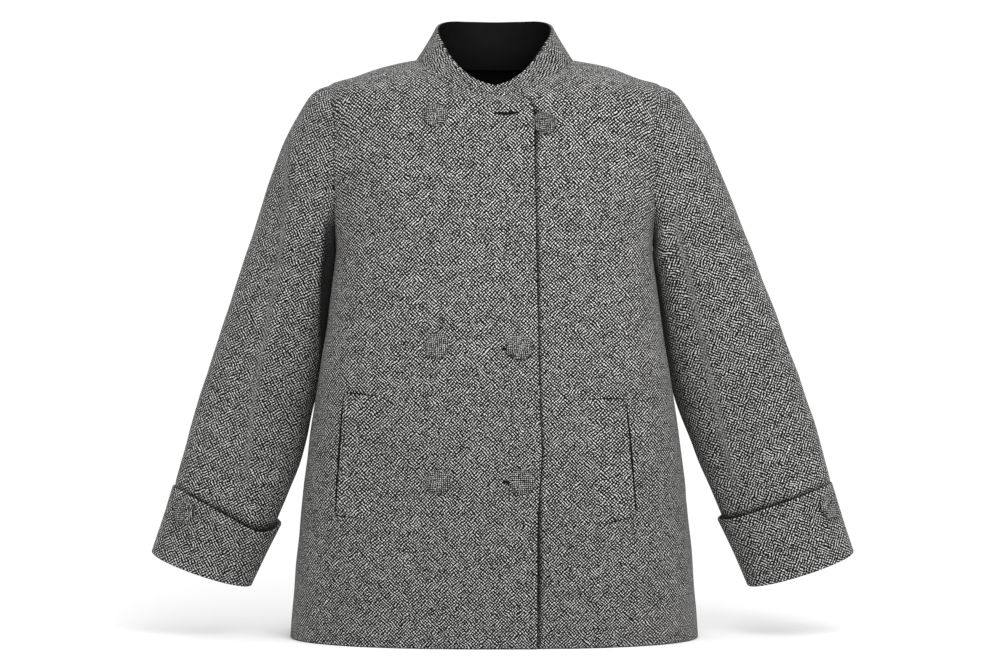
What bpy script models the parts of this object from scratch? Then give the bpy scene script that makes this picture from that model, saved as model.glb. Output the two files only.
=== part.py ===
"""Double-breasted tweed coat with a stand collar, hollow, as if worn with nobody in it.

Metres, +Z up. The front of the coat faces -Y, and the wearer's right is at -X.
The origin is between the shoulders, at the height where the collar meets them.
"""
import bpy
import bmesh
import numpy as np

# Cloth
WALL = 0.0025
LINING_WALL = 0.0012
SEAM = 0.0003
TWEED = (0.205, 0.203, 0.196, 1.0)
LINING_BLACK = (0.008, 0.008, 0.009, 1.0)

# Torso rings, from the hem up to the neck seam. Heights are at the side, the centre front and
# the centre back, depths are from the middle of the ring, and 2 is the squareness of an ellipse.
TORSO_RINGS = (
    # side_z, front_z, back_z, half_width, front_depth, back_depth, squareness
    (-0.685, -0.685, -0.685, 0.244, 0.178, 0.165, 2.30),
    (-0.570, -0.570, -0.570, 0.235, 0.172, 0.158, 2.30),
    (-0.446, -0.446, -0.446, 0.221, 0.163, 0.148, 2.30),
    (-0.334, -0.334, -0.334, 0.204, 0.152, 0.137, 2.35),
    (-0.270, -0.270, -0.270, 0.195, 0.143, 0.129, 2.45),
    (-0.213, -0.217, -0.213, 0.190, 0.134, 0.121, 2.60),
    (-0.165, -0.180, -0.167, 0.203, 0.128, 0.117, 2.40),
    (-0.118, -0.153, -0.125, 0.216, 0.123, 0.114, 2.30),
    (-0.068, -0.130, -0.090, 0.210, 0.119, 0.109, 2.20),
    (-0.032, -0.108, -0.060, 0.199, 0.115, 0.103, 2.02),
    (-0.015, -0.085, -0.036, 0.165, 0.107, 0.095, 2.08),
    (-0.002, -0.061, -0.014, 0.125, 0.095, 0.083, 2.20),
    (0.004, -0.042, 0.002, 0.094, 0.079, 0.067, 2.30),
)
ARMPIT_RING = 5
SHOULDER_RING = 9
NECK_RING = len(TORSO_RINGS) - 1

# Armhole, an oval between the armpit ring and the shoulder ring
ARMHOLE_MIDDLE = (ARMPIT_RING + SHOULDER_RING) / 2
ARMHOLE_HALF = (SHOULDER_RING - ARMPIT_RING) / 2
ARMHOLE_FRONT_SPREAD = np.radians(19.5)
ARMHOLE_BACK_SPREAD = np.radians(18.3)
ARMHOLE_STEPS = 10
ARMHOLE_FAN = 3
FAN_BELOW = 0.5
FAN_ABOVE = 0.8

# Fronts. The right front lies over the left one, which steps in below it.
FRONT_EDGE = (
    # height, x of the free edge
    (-0.690, 0.0493),
    (-0.545, 0.0493),
    (-0.505, 0.0516),
    (-0.465, 0.0550),
    (-0.415, 0.0528),
    (-0.290, 0.0499),
    (-0.060, 0.0458),
)
FRONT_CORNER = 0.024
UNDER_EDGE = -0.050
STEP_IN = WALL + SEAM
STEP_START = 0.092
STEP_END = 0.073
EDGE_LIFT = 0.0075
EDGE_LIFT_SPREAD = 0.016

# Sleeves, from the armhole down to the end inside the cuff. Sizes are the mean of the two,
# and the lean moves the left sleeve out and the right one in.
SLEEVE_STATIONS = (
    # outer_x, outer_z, inner_x, inner_z, centre_y, half_depth, front_dip, outer_lean, inner_lean
    (0.199, -0.032, 0.1900, -0.213, -0.0025, 0.0655, 0.000, 0.000, 0.000),
    (0.221, -0.043, 0.1925, -0.222, 0.0010, 0.0660, 0.000, 0.000, 0.000),
    (0.238, -0.070, 0.1935, -0.232, 0.0050, 0.0660, 0.000, 0.000, 0.000),
    (0.255, -0.101, 0.1950, -0.247, 0.0110, 0.0650, 0.000, 0.001, 0.000),
    (0.278, -0.158, 0.1990, -0.283, 0.0190, 0.0620, 0.000, 0.002, 0.000),
    (0.304, -0.230, 0.2065, -0.340, 0.0250, 0.0580, 0.000, 0.004, 0.000),
    (0.336, -0.322, 0.2185, -0.412, 0.0250, 0.0540, 0.001, 0.007, 0.000),
    (0.369, -0.418, 0.2380, -0.475, 0.0170, 0.0510, 0.002, 0.009, 0.006),
    (0.392, -0.504, 0.2620, -0.533, 0.0040, 0.0470, 0.004, 0.010, 0.007),
    (0.417, -0.583, 0.3030, -0.622, -0.0080, 0.0430, 0.005, 0.010, 0.004),
)
SLEEVE_END = len(SLEEVE_STATIONS) - 1
SLEEVE_ROWS = 16
SLEEVE_BLEND = 3.0
RIDGE_ANGLE = np.radians(77)
RIDGE_SPREAD = np.radians(15)
RIDGE_HEIGHT = 0.003

# Turn-back cuffs. Angles go round the sleeve from its outer side by way of the front.
CUFF_TABLE = {
    "right": (
        # angle, height, stand_off
        (0, 0.080, 0.0010),
        (50, 0.081, 0.0020),
        (90, 0.075, 0.0040),
        (135, 0.065, 0.0065),
        (180, 0.076, 0.0040),
        (270, 0.078, 0.0025),
    ),
    "left": (
        (0, 0.084, 0.0010),
        (50, 0.086, 0.0020),
        (90, 0.086, 0.0035),
        (135, 0.083, 0.0050),
        (180, 0.082, 0.0035),
        (270, 0.083, 0.0025),
    ),
}

# Collar, with the height of its top edge round the neck from the centre front
COLLAR_TOP = (
    # angle, top_z
    (-15.5, -0.0368),
    (0, -0.0310),
    (12, -0.0265),
    (25, -0.0180),
    (36, -0.0075),
    (52, 0.0090),
    (64, 0.0235),
    (90, 0.0425),
    (120, 0.0535),
    (150, 0.0555),
    (180, 0.0555),
)
COLLAR_HALF_WIDTH = 0.0705
COLLAR_FRONT = 0.0735
COLLAR_BACK = 0.0620
COLLAR_FLARE = 1.6
COLLAR_FULL_RISE = 0.011
COLLAR_START = -15.5
COLLAR_END = 366.0
LINING_START = 10.0
LINING_END = 358.0

# Buttons, cloth-covered domes
BUTTON_RADIUS = 0.0145
BUTTON_HEIGHT = 0.0065
BUTTON_SIDES = 16
BUTTON_PROFILE = (
    # radius, height
    (0.82, 0.00),
    (1.00, 0.24),
    (0.93, 0.58),
    (0.68, 0.86),
    (0.36, 0.97),
)
TOP_UNDER_BUTTON = (0.058, -0.077)
FRONT_BUTTONS = (
    # name, front, x, z
    ("button_right_top", "right", -0.069, -0.069),
    ("button_right_middle", "right", -0.065, -0.338),
    ("button_right_bottom", "right", -0.063, -0.494),
    ("button_left_middle", "right", 0.029, -0.340),
    ("button_left_bottom", "right", 0.032, -0.494),
    ("button_left_top", "left", *TOP_UNDER_BUTTON),
)
CUFF_BUTTON_SEAT = 0.0007
CUFF_BUTTONS = (
    # side, angle, height
    ("right", 51, 0.062),
    ("left", 38, 0.063),
)

# Pocket welts, as the four corners of each on its front
WELT_WALL = 0.0022
WELT_LIFT = 0.0015
WELTS = (
    # side, free_top, free_bottom, sewn_top, sewn_bottom
    ("right", (-0.175, -0.393), (-0.184, -0.535), (-0.133, -0.393), (-0.142, -0.538)),
    ("left", (0.153, -0.400), (0.164, -0.534), (0.110, -0.400), (0.122, -0.545)),
)


def smooth_row(table, position):
    """Row of a table at a fractional position, on a curve through all of its rows."""
    rows = np.asarray(table, dtype=float)
    rows = np.vstack((2 * rows[0] - rows[1], rows, 2 * rows[-1] - rows[-2]))
    place = np.clip(np.asarray(position, dtype=float), 0, len(rows) - 3)
    low = np.minimum(place.astype(int), len(rows) - 4)
    part = (place - low)[..., None]
    a, b, c, d = (rows[low + step] for step in range(4))
    cubic = 3 * (b - c) + d - a
    square = 2 * a - 5 * b + 4 * c - d
    return b + 0.5 * part * (c - a + part * (square + part * cubic))


def smooth_value(table, place, period=None):
    """Second and later columns of a table at a place in its first column."""
    rows = np.asarray(table, dtype=float)
    if period:
        rows = np.vstack((rows[-1], rows, rows[0]))
        rows[0, 0] -= period
        rows[-1, 0] += period
        place = np.mod(place, period)
    position = np.interp(place, rows[:, 0], np.arange(len(rows)))
    return np.moveaxis(smooth_row(rows[:, 1:], position), -1, 0)


def smooth_step(value):
    """Ease from 0 to 1."""
    part = np.clip(value, 0, 1)
    return part * part * (3 - 2 * part)


def unit(vectors):
    """Vectors scaled to length one."""
    return vectors / np.linalg.norm(vectors, axis=-1, keepdims=True)


def torso(ring, angle):
    """Point of the torso's outer face, with angle 0 at the centre front and 90 degrees at +X."""
    row = np.moveaxis(smooth_row(TORSO_RINGS, ring), -1, 0)
    side_z, front_z, back_z, width, front, back, squareness = row
    ahead = np.cos(angle) > 0
    depth = np.where(ahead, front, back)
    end_z = np.where(ahead, front_z, back_z)
    across = np.abs(np.sin(angle) / width) ** squareness
    along = np.abs(np.cos(angle) / depth) ** squareness
    reach = (across + along) ** (-1 / squareness)
    height = side_z + (end_z - side_z) * np.cos(angle) ** 2
    return np.stack((reach * np.sin(angle), -reach * np.cos(angle), height), axis=-1)


def torso_normal(ring, angle):
    """Outward direction of the torso's face."""
    step = 0.02
    along = torso(ring + step, angle) - torso(ring - step, angle)
    across = torso(ring, angle + step) - torso(ring, angle - step)
    return unit(np.cross(across, along))


def angle_at_x(ring, place):
    """Angle of the point of the front whose x is a number, or a function of its height."""
    angle = np.zeros_like(np.asarray(ring, dtype=float))
    for _ in range(25):
        point = torso(ring, angle)
        wanted = place(point[..., 2]) if callable(place) else place
        angle = np.arctan2(wanted, -point[..., 1])
    return angle


def front_place(x, z):
    """Ring and angle of the point of the front at x and z."""
    low = np.zeros_like(np.asarray(x, dtype=float))
    high = low + NECK_RING
    for _ in range(40):
        ring = (low + high) / 2
        below = torso(ring, angle_at_x(ring, x))[..., 2] < z
        low = np.where(below, ring, low)
        high = np.where(below, high, ring)
    return ring, angle_at_x(ring, x)


def front_edge(z):
    """x of the free edge of the right front, with its rounded top corner."""
    heights, places = np.transpose(FRONT_EDGE)
    neck_z = TORSO_RINGS[NECK_RING][1]
    rise = np.clip((z - neck_z) / FRONT_CORNER + 1, 0, 1)
    return np.interp(z, heights, places) - FRONT_CORNER * (1 - np.sqrt(1 - rise ** 2))


def step_in(x):
    """Offset of the left front, which steps in where the right front lies over it."""
    return -STEP_IN * smooth_step((STEP_START - x) / (STEP_START - STEP_END))


def edge_lift(x, z):
    """Offset of the right front, whose loose corner stands off the button below it."""
    away = np.hypot(x - TOP_UNDER_BUTTON[0], z - TOP_UNDER_BUTTON[1])
    return EDGE_LIFT * np.exp(-0.5 * (away / EDGE_LIFT_SPREAD) ** 2)


def front_offset(side, points):
    """Offset of one front from the torso's face at its points."""
    if side == "left":
        return step_in(points[..., 0])
    return edge_lift(points[..., 0], points[..., 2])


def armhole(ring, spread):
    """Angle that the armhole takes from a panel beside the side seam."""
    lift = (ring - ARMHOLE_MIDDLE) / ARMHOLE_HALF
    return spread * np.sqrt(np.clip(1 - lift ** 2, 0, None))


def panel_rows():
    """Ring positions of a panel's rows in its middle and at its side, where they fan out to the armhole."""
    turn = np.linspace(np.pi, 0, ARMHOLE_STEPS + 1)
    beside = ARMHOLE_MIDDLE + ARMHOLE_HALF * np.cos(turn)
    below = np.linspace(0, ARMPIT_RING, 11)[:-1]
    above = np.linspace(SHOULDER_RING, NECK_RING, 6)[1:]
    side = np.concatenate((below, beside, above))
    knots = (0, ARMPIT_RING, SHOULDER_RING, NECK_RING)
    fanned = (0, ARMPIT_RING - FAN_BELOW, SHOULDER_RING + FAN_ABOVE, NECK_RING)
    even = np.concatenate((below, np.linspace(ARMPIT_RING, SHOULDER_RING, ARMHOLE_STEPS + 1), above))
    return np.interp(even, knots, fanned), side


def torso_wall(ring, angle, offset, wall=WALL):
    """Outer and inner points of cloth that follows the torso."""
    base = torso(ring, angle)
    normal = torso_normal(ring, angle)
    lift = np.asarray(offset)[..., None]
    return base + lift * normal, base + (lift - wall) * normal


def front_walls(side, columns=12):
    """Outer and inner points of one front, from its free edge to its side seam."""
    middle_ring, side_ring = panel_rows()
    pull = SEAM / 2 / smooth_row(TORSO_RINGS, side_ring)[:, 3]
    seam = np.pi / 2 - armhole(side_ring, ARMHOLE_FRONT_SPREAD) - pull
    if side == "right":
        start = angle_at_x(middle_ring, front_edge)
        end = -seam
    else:
        start = angle_at_x(middle_ring, UNDER_EDGE)
        end = seam
    part = np.linspace(0, 1, columns + 1)
    angle = start[:, None] + (end - start)[:, None] * part
    ring = middle_ring[:, None] + (side_ring - middle_ring)[:, None] * part ** ARMHOLE_FAN
    return torso_wall(ring, angle, front_offset(side, torso(ring, angle)))


def back_walls(columns=16):
    """Outer and inner points of the back, from side seam to side seam."""
    middle_ring, side_ring = panel_rows()
    pull = SEAM / 2 / smooth_row(TORSO_RINGS, side_ring)[:, 3]
    seam = np.pi / 2 + armhole(side_ring, ARMHOLE_BACK_SPREAD) + pull
    part = np.linspace(0, 1, columns + 1)
    angle = seam[:, None] + (2 * np.pi - 2 * seam)[:, None] * part
    ring = middle_ring[:, None] + (side_ring - middle_ring)[:, None] * np.abs(2 * part - 1) ** ARMHOLE_FAN
    return torso_wall(ring, angle, np.zeros(angle.shape))


def sleeve(side, station, angle, inset=0.0):
    """Point of a sleeve, with angle 0 on its outer side and 90 degrees at the front."""
    out = 1 if side == "left" else -1
    row = np.moveaxis(smooth_row(SLEEVE_STATIONS, station), -1, 0)
    outer_x, outer_z, inner_x, inner_z, centre_y, half_depth, dip, outer_lean, inner_lean = row
    top = np.stack((outer_x + out * outer_lean, 0 * outer_x, outer_z), axis=-1)
    under = np.stack((inner_x + out * inner_lean, 0 * outer_x, inner_z), axis=-1)
    middle = (top + under) / 2
    middle[..., 1] = centre_y
    half_width = np.linalg.norm(top - under, axis=-1) / 2
    spread = unit(top - under)
    depth = unit(np.stack((0 * dip, -half_depth, -dip), axis=-1))
    cos, sin = np.cos(angle), np.sin(angle)
    normal_length = np.hypot(half_depth * cos, half_width * sin)
    away_out = half_depth * cos / normal_length
    away_front = half_width * sin / normal_length
    turn = np.arctan2(sin, cos) - RIDGE_ANGLE
    fade = smooth_step((station - 2) / 2) * smooth_step((SLEEVE_END - station) / 2)
    raised = RIDGE_HEIGHT * fade * np.exp(-0.5 * (turn / RIDGE_SPREAD) ** 2) - inset
    point = middle + (half_width * cos + raised * away_out)[..., None] * spread
    point = point + (half_depth * sin + raised * away_front)[..., None] * depth
    point = point + armhole_rest(angle, station)
    return point * (out, 1, 1)


def armhole_rest(angle, station):
    """What takes the first rings of a sleeve from an even oval to the armhole's own curve."""
    ring = ARMHOLE_MIDDLE + ARMHOLE_HALF * np.cos(angle)
    spread = np.where(np.sin(angle) > 0, ARMHOLE_FRONT_SPREAD, ARMHOLE_BACK_SPREAD)
    ahead = np.where(np.sin(angle) > 0, 1, -1)
    curve = torso(ring, np.pi / 2 - ahead * armhole(ring, spread)) + (SEAM, 0, 0)
    outer_x, outer_z, inner_x, inner_z, centre_y, half_depth = SLEEVE_STATIONS[0][:6]
    cos, sin = np.cos(angle), np.sin(angle)
    x = (outer_x + inner_x) / 2 + (outer_x - inner_x) / 2 * cos
    z = (outer_z + inner_z) / 2 + (outer_z - inner_z) / 2 * cos
    oval = np.stack((x, centre_y - half_depth * sin, z), axis=-1)
    fade = 1 - smooth_step(np.asarray(station) / SLEEVE_BLEND)
    return (curve - oval) * fade[..., None]


def sleeve_walls(side):
    """Outer and inner rings of a sleeve."""
    part = np.linspace(0, 1, SLEEVE_ROWS + 1)
    station, angle = np.meshgrid(SLEEVE_END * part, ring_angles(), indexing="ij")
    return sleeve(side, station, angle), sleeve(side, station, angle, WALL)


def ring_angles():
    """Angles round a sleeve, the same as the rows of the panels at the armhole."""
    return np.linspace(0, 2 * np.pi, 2 * ARMHOLE_STEPS, endpoint=False)


def cuff_point(side, angle, up, out):
    """Point of a cuff, up from the sleeve's end and out from the sleeve's face."""
    end = sleeve(side, SLEEVE_END + 0 * angle, angle, -out)
    above = sleeve(side, SLEEVE_END - 1 + 0 * angle, angle, -out)
    length = np.linalg.norm(end - above, axis=-1)
    station = SLEEVE_END - np.clip(up, 0, None) / length
    below = np.clip(-up, 0, None)[..., None]
    return sleeve(side, station, angle, -out) + below * unit(end - above)


def cuff_loops(side):
    """Closed outline of a cuff's wall at each angle, turned in under the end of the sleeve."""
    angle = ring_angles()
    height, stand = smooth_value(CUFF_TABLE[side], np.degrees(angle), 360)
    outline = [(height * part, SEAM + stand * part ** 1.5) for part in (1, 0.66, 0.33, 0.05)]
    none = 0 * angle
    outline += [(none - SEAM, none + SEAM), (none - SEAM, none - WALL)]
    outline += [(none - SEAM - WALL, none - 0.5 * WALL), (none - SEAM - WALL, none + 0.5 * WALL)]
    outline += [(none - SEAM, none + SEAM + 0.9 * WALL)]
    outline += [(height * part, SEAM + WALL + stand * part ** 1.5) for part in (0.05, 0.33, 0.66, 1)]
    return np.stack([cuff_point(side, angle, up, out) for up, out in outline], axis=0)


def collar(turn, rise, inset=0.0):
    """Point of the collar, turned in degrees from the centre front by way of the wearer's right."""
    angle = -np.radians(turn)
    neck = NECK_RING + 0 * angle
    plain = torso(neck, angle)
    across = np.where(turn > 270, np.sign(360 - turn) * np.abs(plain[..., 0]), STEP_START)
    under = step_in(across)[..., None]
    base = plain + under * torso_normal(neck, angle)
    depth = np.where(np.cos(angle) > 0, COLLAR_FRONT, COLLAR_BACK)
    reach = np.hypot(np.sin(angle) / COLLAR_HALF_WIDTH, np.cos(angle) / depth) ** -1
    way_out = np.stack((np.sin(angle), -np.cos(angle)), axis=-1)
    top_z, = smooth_value(COLLAR_TOP, np.where(turn > 180, 360 - turn, turn))
    lean = np.clip((top_z - base[..., 2]) / COLLAR_FULL_RISE, 0, 1)
    ease = (lean * (1 - (1 - rise) ** COLLAR_FLARE))[..., None]
    flat = base[..., :2] * (1 - ease) + way_out * (reach[..., None] + under) * ease
    flat = flat - np.asarray(inset) * way_out
    height = (base[..., 2] + SEAM) * (1 - rise) + top_z * rise
    return np.concatenate((flat, height[..., None]), axis=-1)


def collar_walls(turns, outside, inside, rows=4):
    """Outer and inner points of the collar or its lining."""
    turn, rise = np.meshgrid(turns, np.linspace(0, 1, rows + 1), indexing="ij")
    return collar(turn, rise, outside), collar(turn, rise, inside)


def welt_walls(side, free_top, free_bottom, sewn_top, sewn_bottom, columns=4, rows=8):
    """Outer and inner points of a pocket welt, moved out from its front."""
    across, down = np.meshgrid(np.linspace(0, 1, columns + 1), np.linspace(0, 1, rows + 1), indexing="ij")
    corners = np.array((free_top, free_bottom, sewn_top, sewn_bottom))
    weights = ((1 - across) * (1 - down), (1 - across) * down, across * (1 - down), across * down)
    x, z = (sum(weight * corner[axis] for weight, corner in zip(weights, corners)) for axis in range(2))
    ring, angle = front_place(x, z)
    lift = front_offset(side, torso(ring, angle)) + SEAM + WELT_LIFT * (1 - across) ** 2
    return torso_wall(ring, angle, lift + WELT_WALL, WELT_WALL)


def material(name, colour, roughness):
    """Plain cloth finish."""
    finish = bpy.data.materials.new(name)
    finish.use_nodes = True
    shader = finish.node_tree.nodes["Principled BSDF"]
    shader.inputs["Base Color"].default_value = colour
    shader.inputs["Roughness"].default_value = roughness
    shader.inputs["Metallic"].default_value = 0.0
    return finish


def body(name, finish, points, faces):
    """One closed, smooth-shaded object, parented to the coat."""
    shape = bmesh.new()
    corners = [shape.verts.new(point) for point in points]
    for face in faces:
        shape.faces.new([corners[index] for index in face])
    bmesh.ops.recalc_face_normals(shape, faces=shape.faces)
    mesh = bpy.data.meshes.new(name)
    shape.to_mesh(mesh)
    shape.free()
    mesh.materials.append(finish)
    mesh.shade_smooth()
    mesh.set_sharp_from_angle(angle=np.radians(50))
    piece = bpy.data.objects.new(name, mesh)
    bpy.context.collection.objects.link(piece)
    piece.parent = COAT
    return piece


def short_splits(points):
    """For each cell of a grid of points, whether its second diagonal is the shorter one."""
    first = np.linalg.norm(points[1:, 1:] - points[:-1, :-1], axis=-1)
    second = np.linalg.norm(points[1:, :-1] - points[:-1, 1:], axis=-1)
    return second < first


def grid_faces(rows, columns, first, wrap=False, splits=None):
    """Triangles of a grid of points, joined round if it wraps."""
    faces = []
    for row in range(rows - 1):
        for column in range(columns if wrap else columns - 1):
            after = (column + 1) % columns
            low, high = first + row * columns, first + (row + 1) * columns
            a, b, c, d = low + column, low + after, high + after, high + column
            if splits is not None and splits[row, column]:
                a, b, c, d = b, c, d, a
            faces.append((a, b, c))
            faces.append((a, c, d))
    return faces


def wall_body(name, finish, walls, wrap=False, splits=None):
    """Closed wall between an outer and an inner grid of points, both split alike."""
    outer, inner = walls
    rows, columns = outer.shape[:2]
    count = rows * columns
    index = np.arange(count).reshape(rows, columns)
    faces = grid_faces(rows, columns, 0, wrap, splits) + grid_faces(rows, columns, count, wrap, splits)
    rims = [index[0], index[-1]]
    if not wrap:
        rims += [index[:, 0], index[:, -1]]
    for rim in rims:
        edge = list(rim) + [rim[0]] if wrap else list(rim)
        faces += [(a, b, b + count, a + count) for a, b in zip(edge, edge[1:])]
    points = np.concatenate((outer.reshape(-1, 3), inner.reshape(-1, 3)))
    return body(name, finish, points, faces)


def panel_body(name, finish, walls):
    """Closed wall whose uneven cells are split along their shorter diagonals."""
    return wall_body(name, finish, walls, splits=short_splits(walls[0]))


def loop_body(name, finish, loops):
    """Closed wall whose outline is swept round, with one closed outline at each angle."""
    closed = np.concatenate((loops, loops[:1]))
    count, columns = loops.shape[:2]
    faces = grid_faces(count + 1, columns, 0, wrap=True)
    total = count * columns
    faces = [tuple(index % total for index in face) for face in faces]
    return body(name, finish, closed[:-1].reshape(-1, 3), faces)


def button_body(name, finish, seat, normal):
    """Domed button that stands on a seat."""
    side = unit(np.cross(normal, (0.0, 0.0, 1.0)))
    rise = np.cross(side, normal)
    turn = np.linspace(0, 2 * np.pi, BUTTON_SIDES, endpoint=False)[:, None]
    points = [seat]
    for radius, height in BUTTON_PROFILE:
        spoke = radius * BUTTON_RADIUS * (np.cos(turn) * side + np.sin(turn) * rise)
        points.extend(seat + spoke + height * BUTTON_HEIGHT * normal)
    points.append(seat + BUTTON_HEIGHT * normal)
    faces = grid_faces(len(BUTTON_PROFILE), BUTTON_SIDES, 1, wrap=True)
    top = len(points) - 1
    for step in range(BUTTON_SIDES):
        after = (step + 1) % BUTTON_SIDES
        faces.append((0, 1 + step, 1 + after))
        faces.append((top, top - BUTTON_SIDES + after, top - BUTTON_SIDES + step))
    return body(name, finish, points, faces)


def front_button(name, finish, side, x, z):
    """Button on one of the fronts."""
    ring, angle = front_place(np.array(x), np.array(z))
    lift = front_offset(side, torso(ring, angle)) + SEAM
    seat = torso_wall(ring, angle, lift)[0]
    return button_body(name, finish, seat, torso_normal(ring, angle))


def cuff_button(side, finish, angle, up):
    """Button on the outer side of a cuff."""
    turn = np.radians(np.array(angle, dtype=float))
    height, stand = smooth_value(CUFF_TABLE[side], np.degrees(turn), 360)
    out = SEAM + WALL + CUFF_BUTTON_SEAT + stand * (up / height) ** 1.5
    seat = cuff_point(side, turn, np.array(up), out)
    step = 0.05
    round_way = cuff_point(side, turn + step, np.array(up), out) - cuff_point(side, turn - step, np.array(up), out)
    up_way = cuff_point(side, turn, np.array(up + step / 10), out) - seat
    normal = unit(np.cross(round_way, up_way))
    outward = seat - cuff_point(side, turn, np.array(up), out - WALL)
    normal = normal * np.sign(np.dot(normal, outward))
    return button_body("cuff_button_" + side, finish, seat, normal)


for old in list(bpy.data.objects):
    bpy.data.objects.remove(old)
COAT = bpy.data.objects.new("coat", None)
bpy.context.collection.objects.link(COAT)
tweed = material("tweed", TWEED, 0.95)
lining = material("lining", LINING_BLACK, 0.7)

for hand in ("right", "left"):
    panel_body("front_" + hand, tweed, front_walls(hand))
    wall_body("sleeve_" + hand, tweed, sleeve_walls(hand), wrap=True)
    loop_body("cuff_" + hand, tweed, cuff_loops(hand))
panel_body("back", tweed, back_walls())
lining_turns = np.linspace(LINING_START, LINING_END, 36)
collar_turns = np.concatenate((np.linspace(COLLAR_START, 0, 3), lining_turns, [COLLAR_END]))
wall_body("collar", tweed, collar_walls(collar_turns, 0.0, WALL))
lining_face = WALL + SEAM
lining_back = lining_face + LINING_WALL
wall_body("collar_lining", lining, collar_walls(lining_turns, lining_face, lining_back))
for hand, *corners in WELTS:
    wall_body("pocket_welt_" + hand, tweed, welt_walls(hand, *corners))
for label, hand, x, z in FRONT_BUTTONS:
    front_button(label, tweed, hand, x, z)
for hand, angle, up in CUFF_BUTTONS:
    cuff_button(hand, tweed, angle, up)
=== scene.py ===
"""Looks of the double-breasted tweed coat: creased cloth shells, their weave, light and camera.

Metres, +Z up. The front of the coat faces -Y, and the wearer's right is at -X.
"""
import bpy
import bmesh
import numpy as np
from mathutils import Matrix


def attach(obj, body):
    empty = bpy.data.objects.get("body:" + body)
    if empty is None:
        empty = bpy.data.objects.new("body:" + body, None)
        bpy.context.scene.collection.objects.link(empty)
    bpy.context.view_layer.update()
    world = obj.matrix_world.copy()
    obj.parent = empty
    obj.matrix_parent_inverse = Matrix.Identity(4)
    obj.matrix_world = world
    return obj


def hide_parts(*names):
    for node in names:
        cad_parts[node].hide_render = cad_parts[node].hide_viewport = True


MM = 0.001
# Way out from the body along x, on the wearer's right and left
OUT = {"right": -1, "left": 1}

# Cloth
WALL = 0.0025
LINING_WALL = 0.0012
SEAM = 0.0003
SEAM_DIP = 0.0006
SEAM_SPREAD = 0.0045
# Material slots of a shell's rims: first row, last row, first column and last column
PLAIN_RIMS = (0, 0, 0, 0)
FRONT_RIMS = (0, 1, 0, 1)
BACK_RIMS = (0, 1, 1, 1)
SLEEVE_RIMS = (1, 0, 0, 0)
# Wall that each corner of a shell's faces lies on, 0 outside and 1 inside
OUTER_FACE = np.array((0, 0, 0, 0))
INNER_FACE = np.array((1, 1, 1, 1))
RIM_FACE = np.array((0, 0, 1, 1))

# Torso rings, from the hem up to the neck seam
TORSO_RINGS = (
    # side_z, front_z, back_z, half_width, front_depth, back_depth, squareness
    (-0.685, -0.685, -0.685, 0.244, 0.178, 0.165, 2.3),
    (-0.57, -0.57, -0.57, 0.235, 0.172, 0.158, 2.3),
    (-0.446, -0.446, -0.446, 0.221, 0.163, 0.148, 2.3),
    (-0.334, -0.334, -0.334, 0.204, 0.152, 0.137, 2.35),
    (-0.27, -0.27, -0.27, 0.195, 0.143, 0.129, 2.45),
    (-0.213, -0.217, -0.213, 0.19, 0.134, 0.121, 2.6),
    (-0.165, -0.18, -0.167, 0.203, 0.128, 0.117, 2.4),
    (-0.118, -0.153, -0.125, 0.216, 0.123, 0.114, 2.3),
    (-0.068, -0.13, -0.09, 0.21, 0.119, 0.109, 2.2),
    (-0.032, -0.108, -0.06, 0.199, 0.115, 0.103, 2.02),
    (-0.015, -0.085, -0.036, 0.165, 0.107, 0.095, 2.08),
    (-0.002, -0.061, -0.014, 0.125, 0.095, 0.083, 2.2),
    (0.004, -0.042, 0.002, 0.094, 0.079, 0.067, 2.3),
)
ARMPIT_RING = 5
SHOULDER_RING = 9
NECK_RING = len(TORSO_RINGS) - 1
SHOULDER_TIP = (0.204, 0, -0.035)
SHOULDER_RISE = 0.0058
SHOULDER_SPREAD = 0.022
SHOULDER_TOP = -0.04
SHOULDER_FADE = 0.03

# Armhole, an oval between the armpit ring and the shoulder ring
ARMHOLE_MIDDLE = (ARMPIT_RING + SHOULDER_RING) / 2
ARMHOLE_HALF = (SHOULDER_RING - ARMPIT_RING) / 2
ARMHOLE_FRONT_SPREAD = np.radians(19.5)
ARMHOLE_BACK_SPREAD = np.radians(18.3)
ARMHOLE_FAN = 3
FAN_BELOW = 0.5
FAN_ABOVE = 0.8
ROWS_BELOW = 84
ROWS_BESIDE = 56
ROWS_ABOVE = 26

# Fronts. The right front lies over the left one, which steps in below it.
FRONT_EDGE = (
    # height, x of the free edge
    (-0.69, 0.0493),
    (-0.545, 0.0493),
    (-0.505, 0.0516),
    (-0.465, 0.055),
    (-0.415, 0.0528),
    (-0.29, 0.0499),
    (-0.06, 0.0458),
)
FRONT_CORNER = 0.024
UNDER_EDGE = -0.05
FRONT_COLUMNS = 84
BACK_COLUMNS = 120
RIGHT_CROWDING = 1.15
LEFT_COLUMNS = (
    # column, place between the free edge and the side seam
    (0, 0),
    (8, 0.27),
    (36, 0.38),
    (FRONT_COLUMNS - 1, 1),
)
STEP_IN = WALL + SEAM
STEP_START = 0.092
STEP_END = 0.073
EDGE_LIFT = 0.0075
EDGE_LIFT_SPREAD = 0.016
EDGE_STAND = (
    # height, how far the free edge stands off, how dark the painted shade beside it is, width of that
    # shade
    (-0.69, 0.0016, 0.85, 0.006),
    (-0.62, 0.0028, 0.97, 0.0085),
    (-0.54, 0.0024, 0.97, 0.008),
    (-0.505, 0.0014, 0.95, 0.005),
    (-0.47, 0.0008, 0.95, 0.0044),
    (-0.38, 0.0006, 0.95, 0.0042),
    (-0.3, 0.0012, 0.95, 0.0048),
    (-0.22, 0.002, 0.97, 0.0056),
    (-0.14, 0.0006, 0.92, 0.0042),
    (-0.08, 0.001, 0.98, 0.0085),
    (-0.05, 0.0008, 0.95, 0.0062),
)
EDGE_STAND_SPREAD = 0.013

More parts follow.
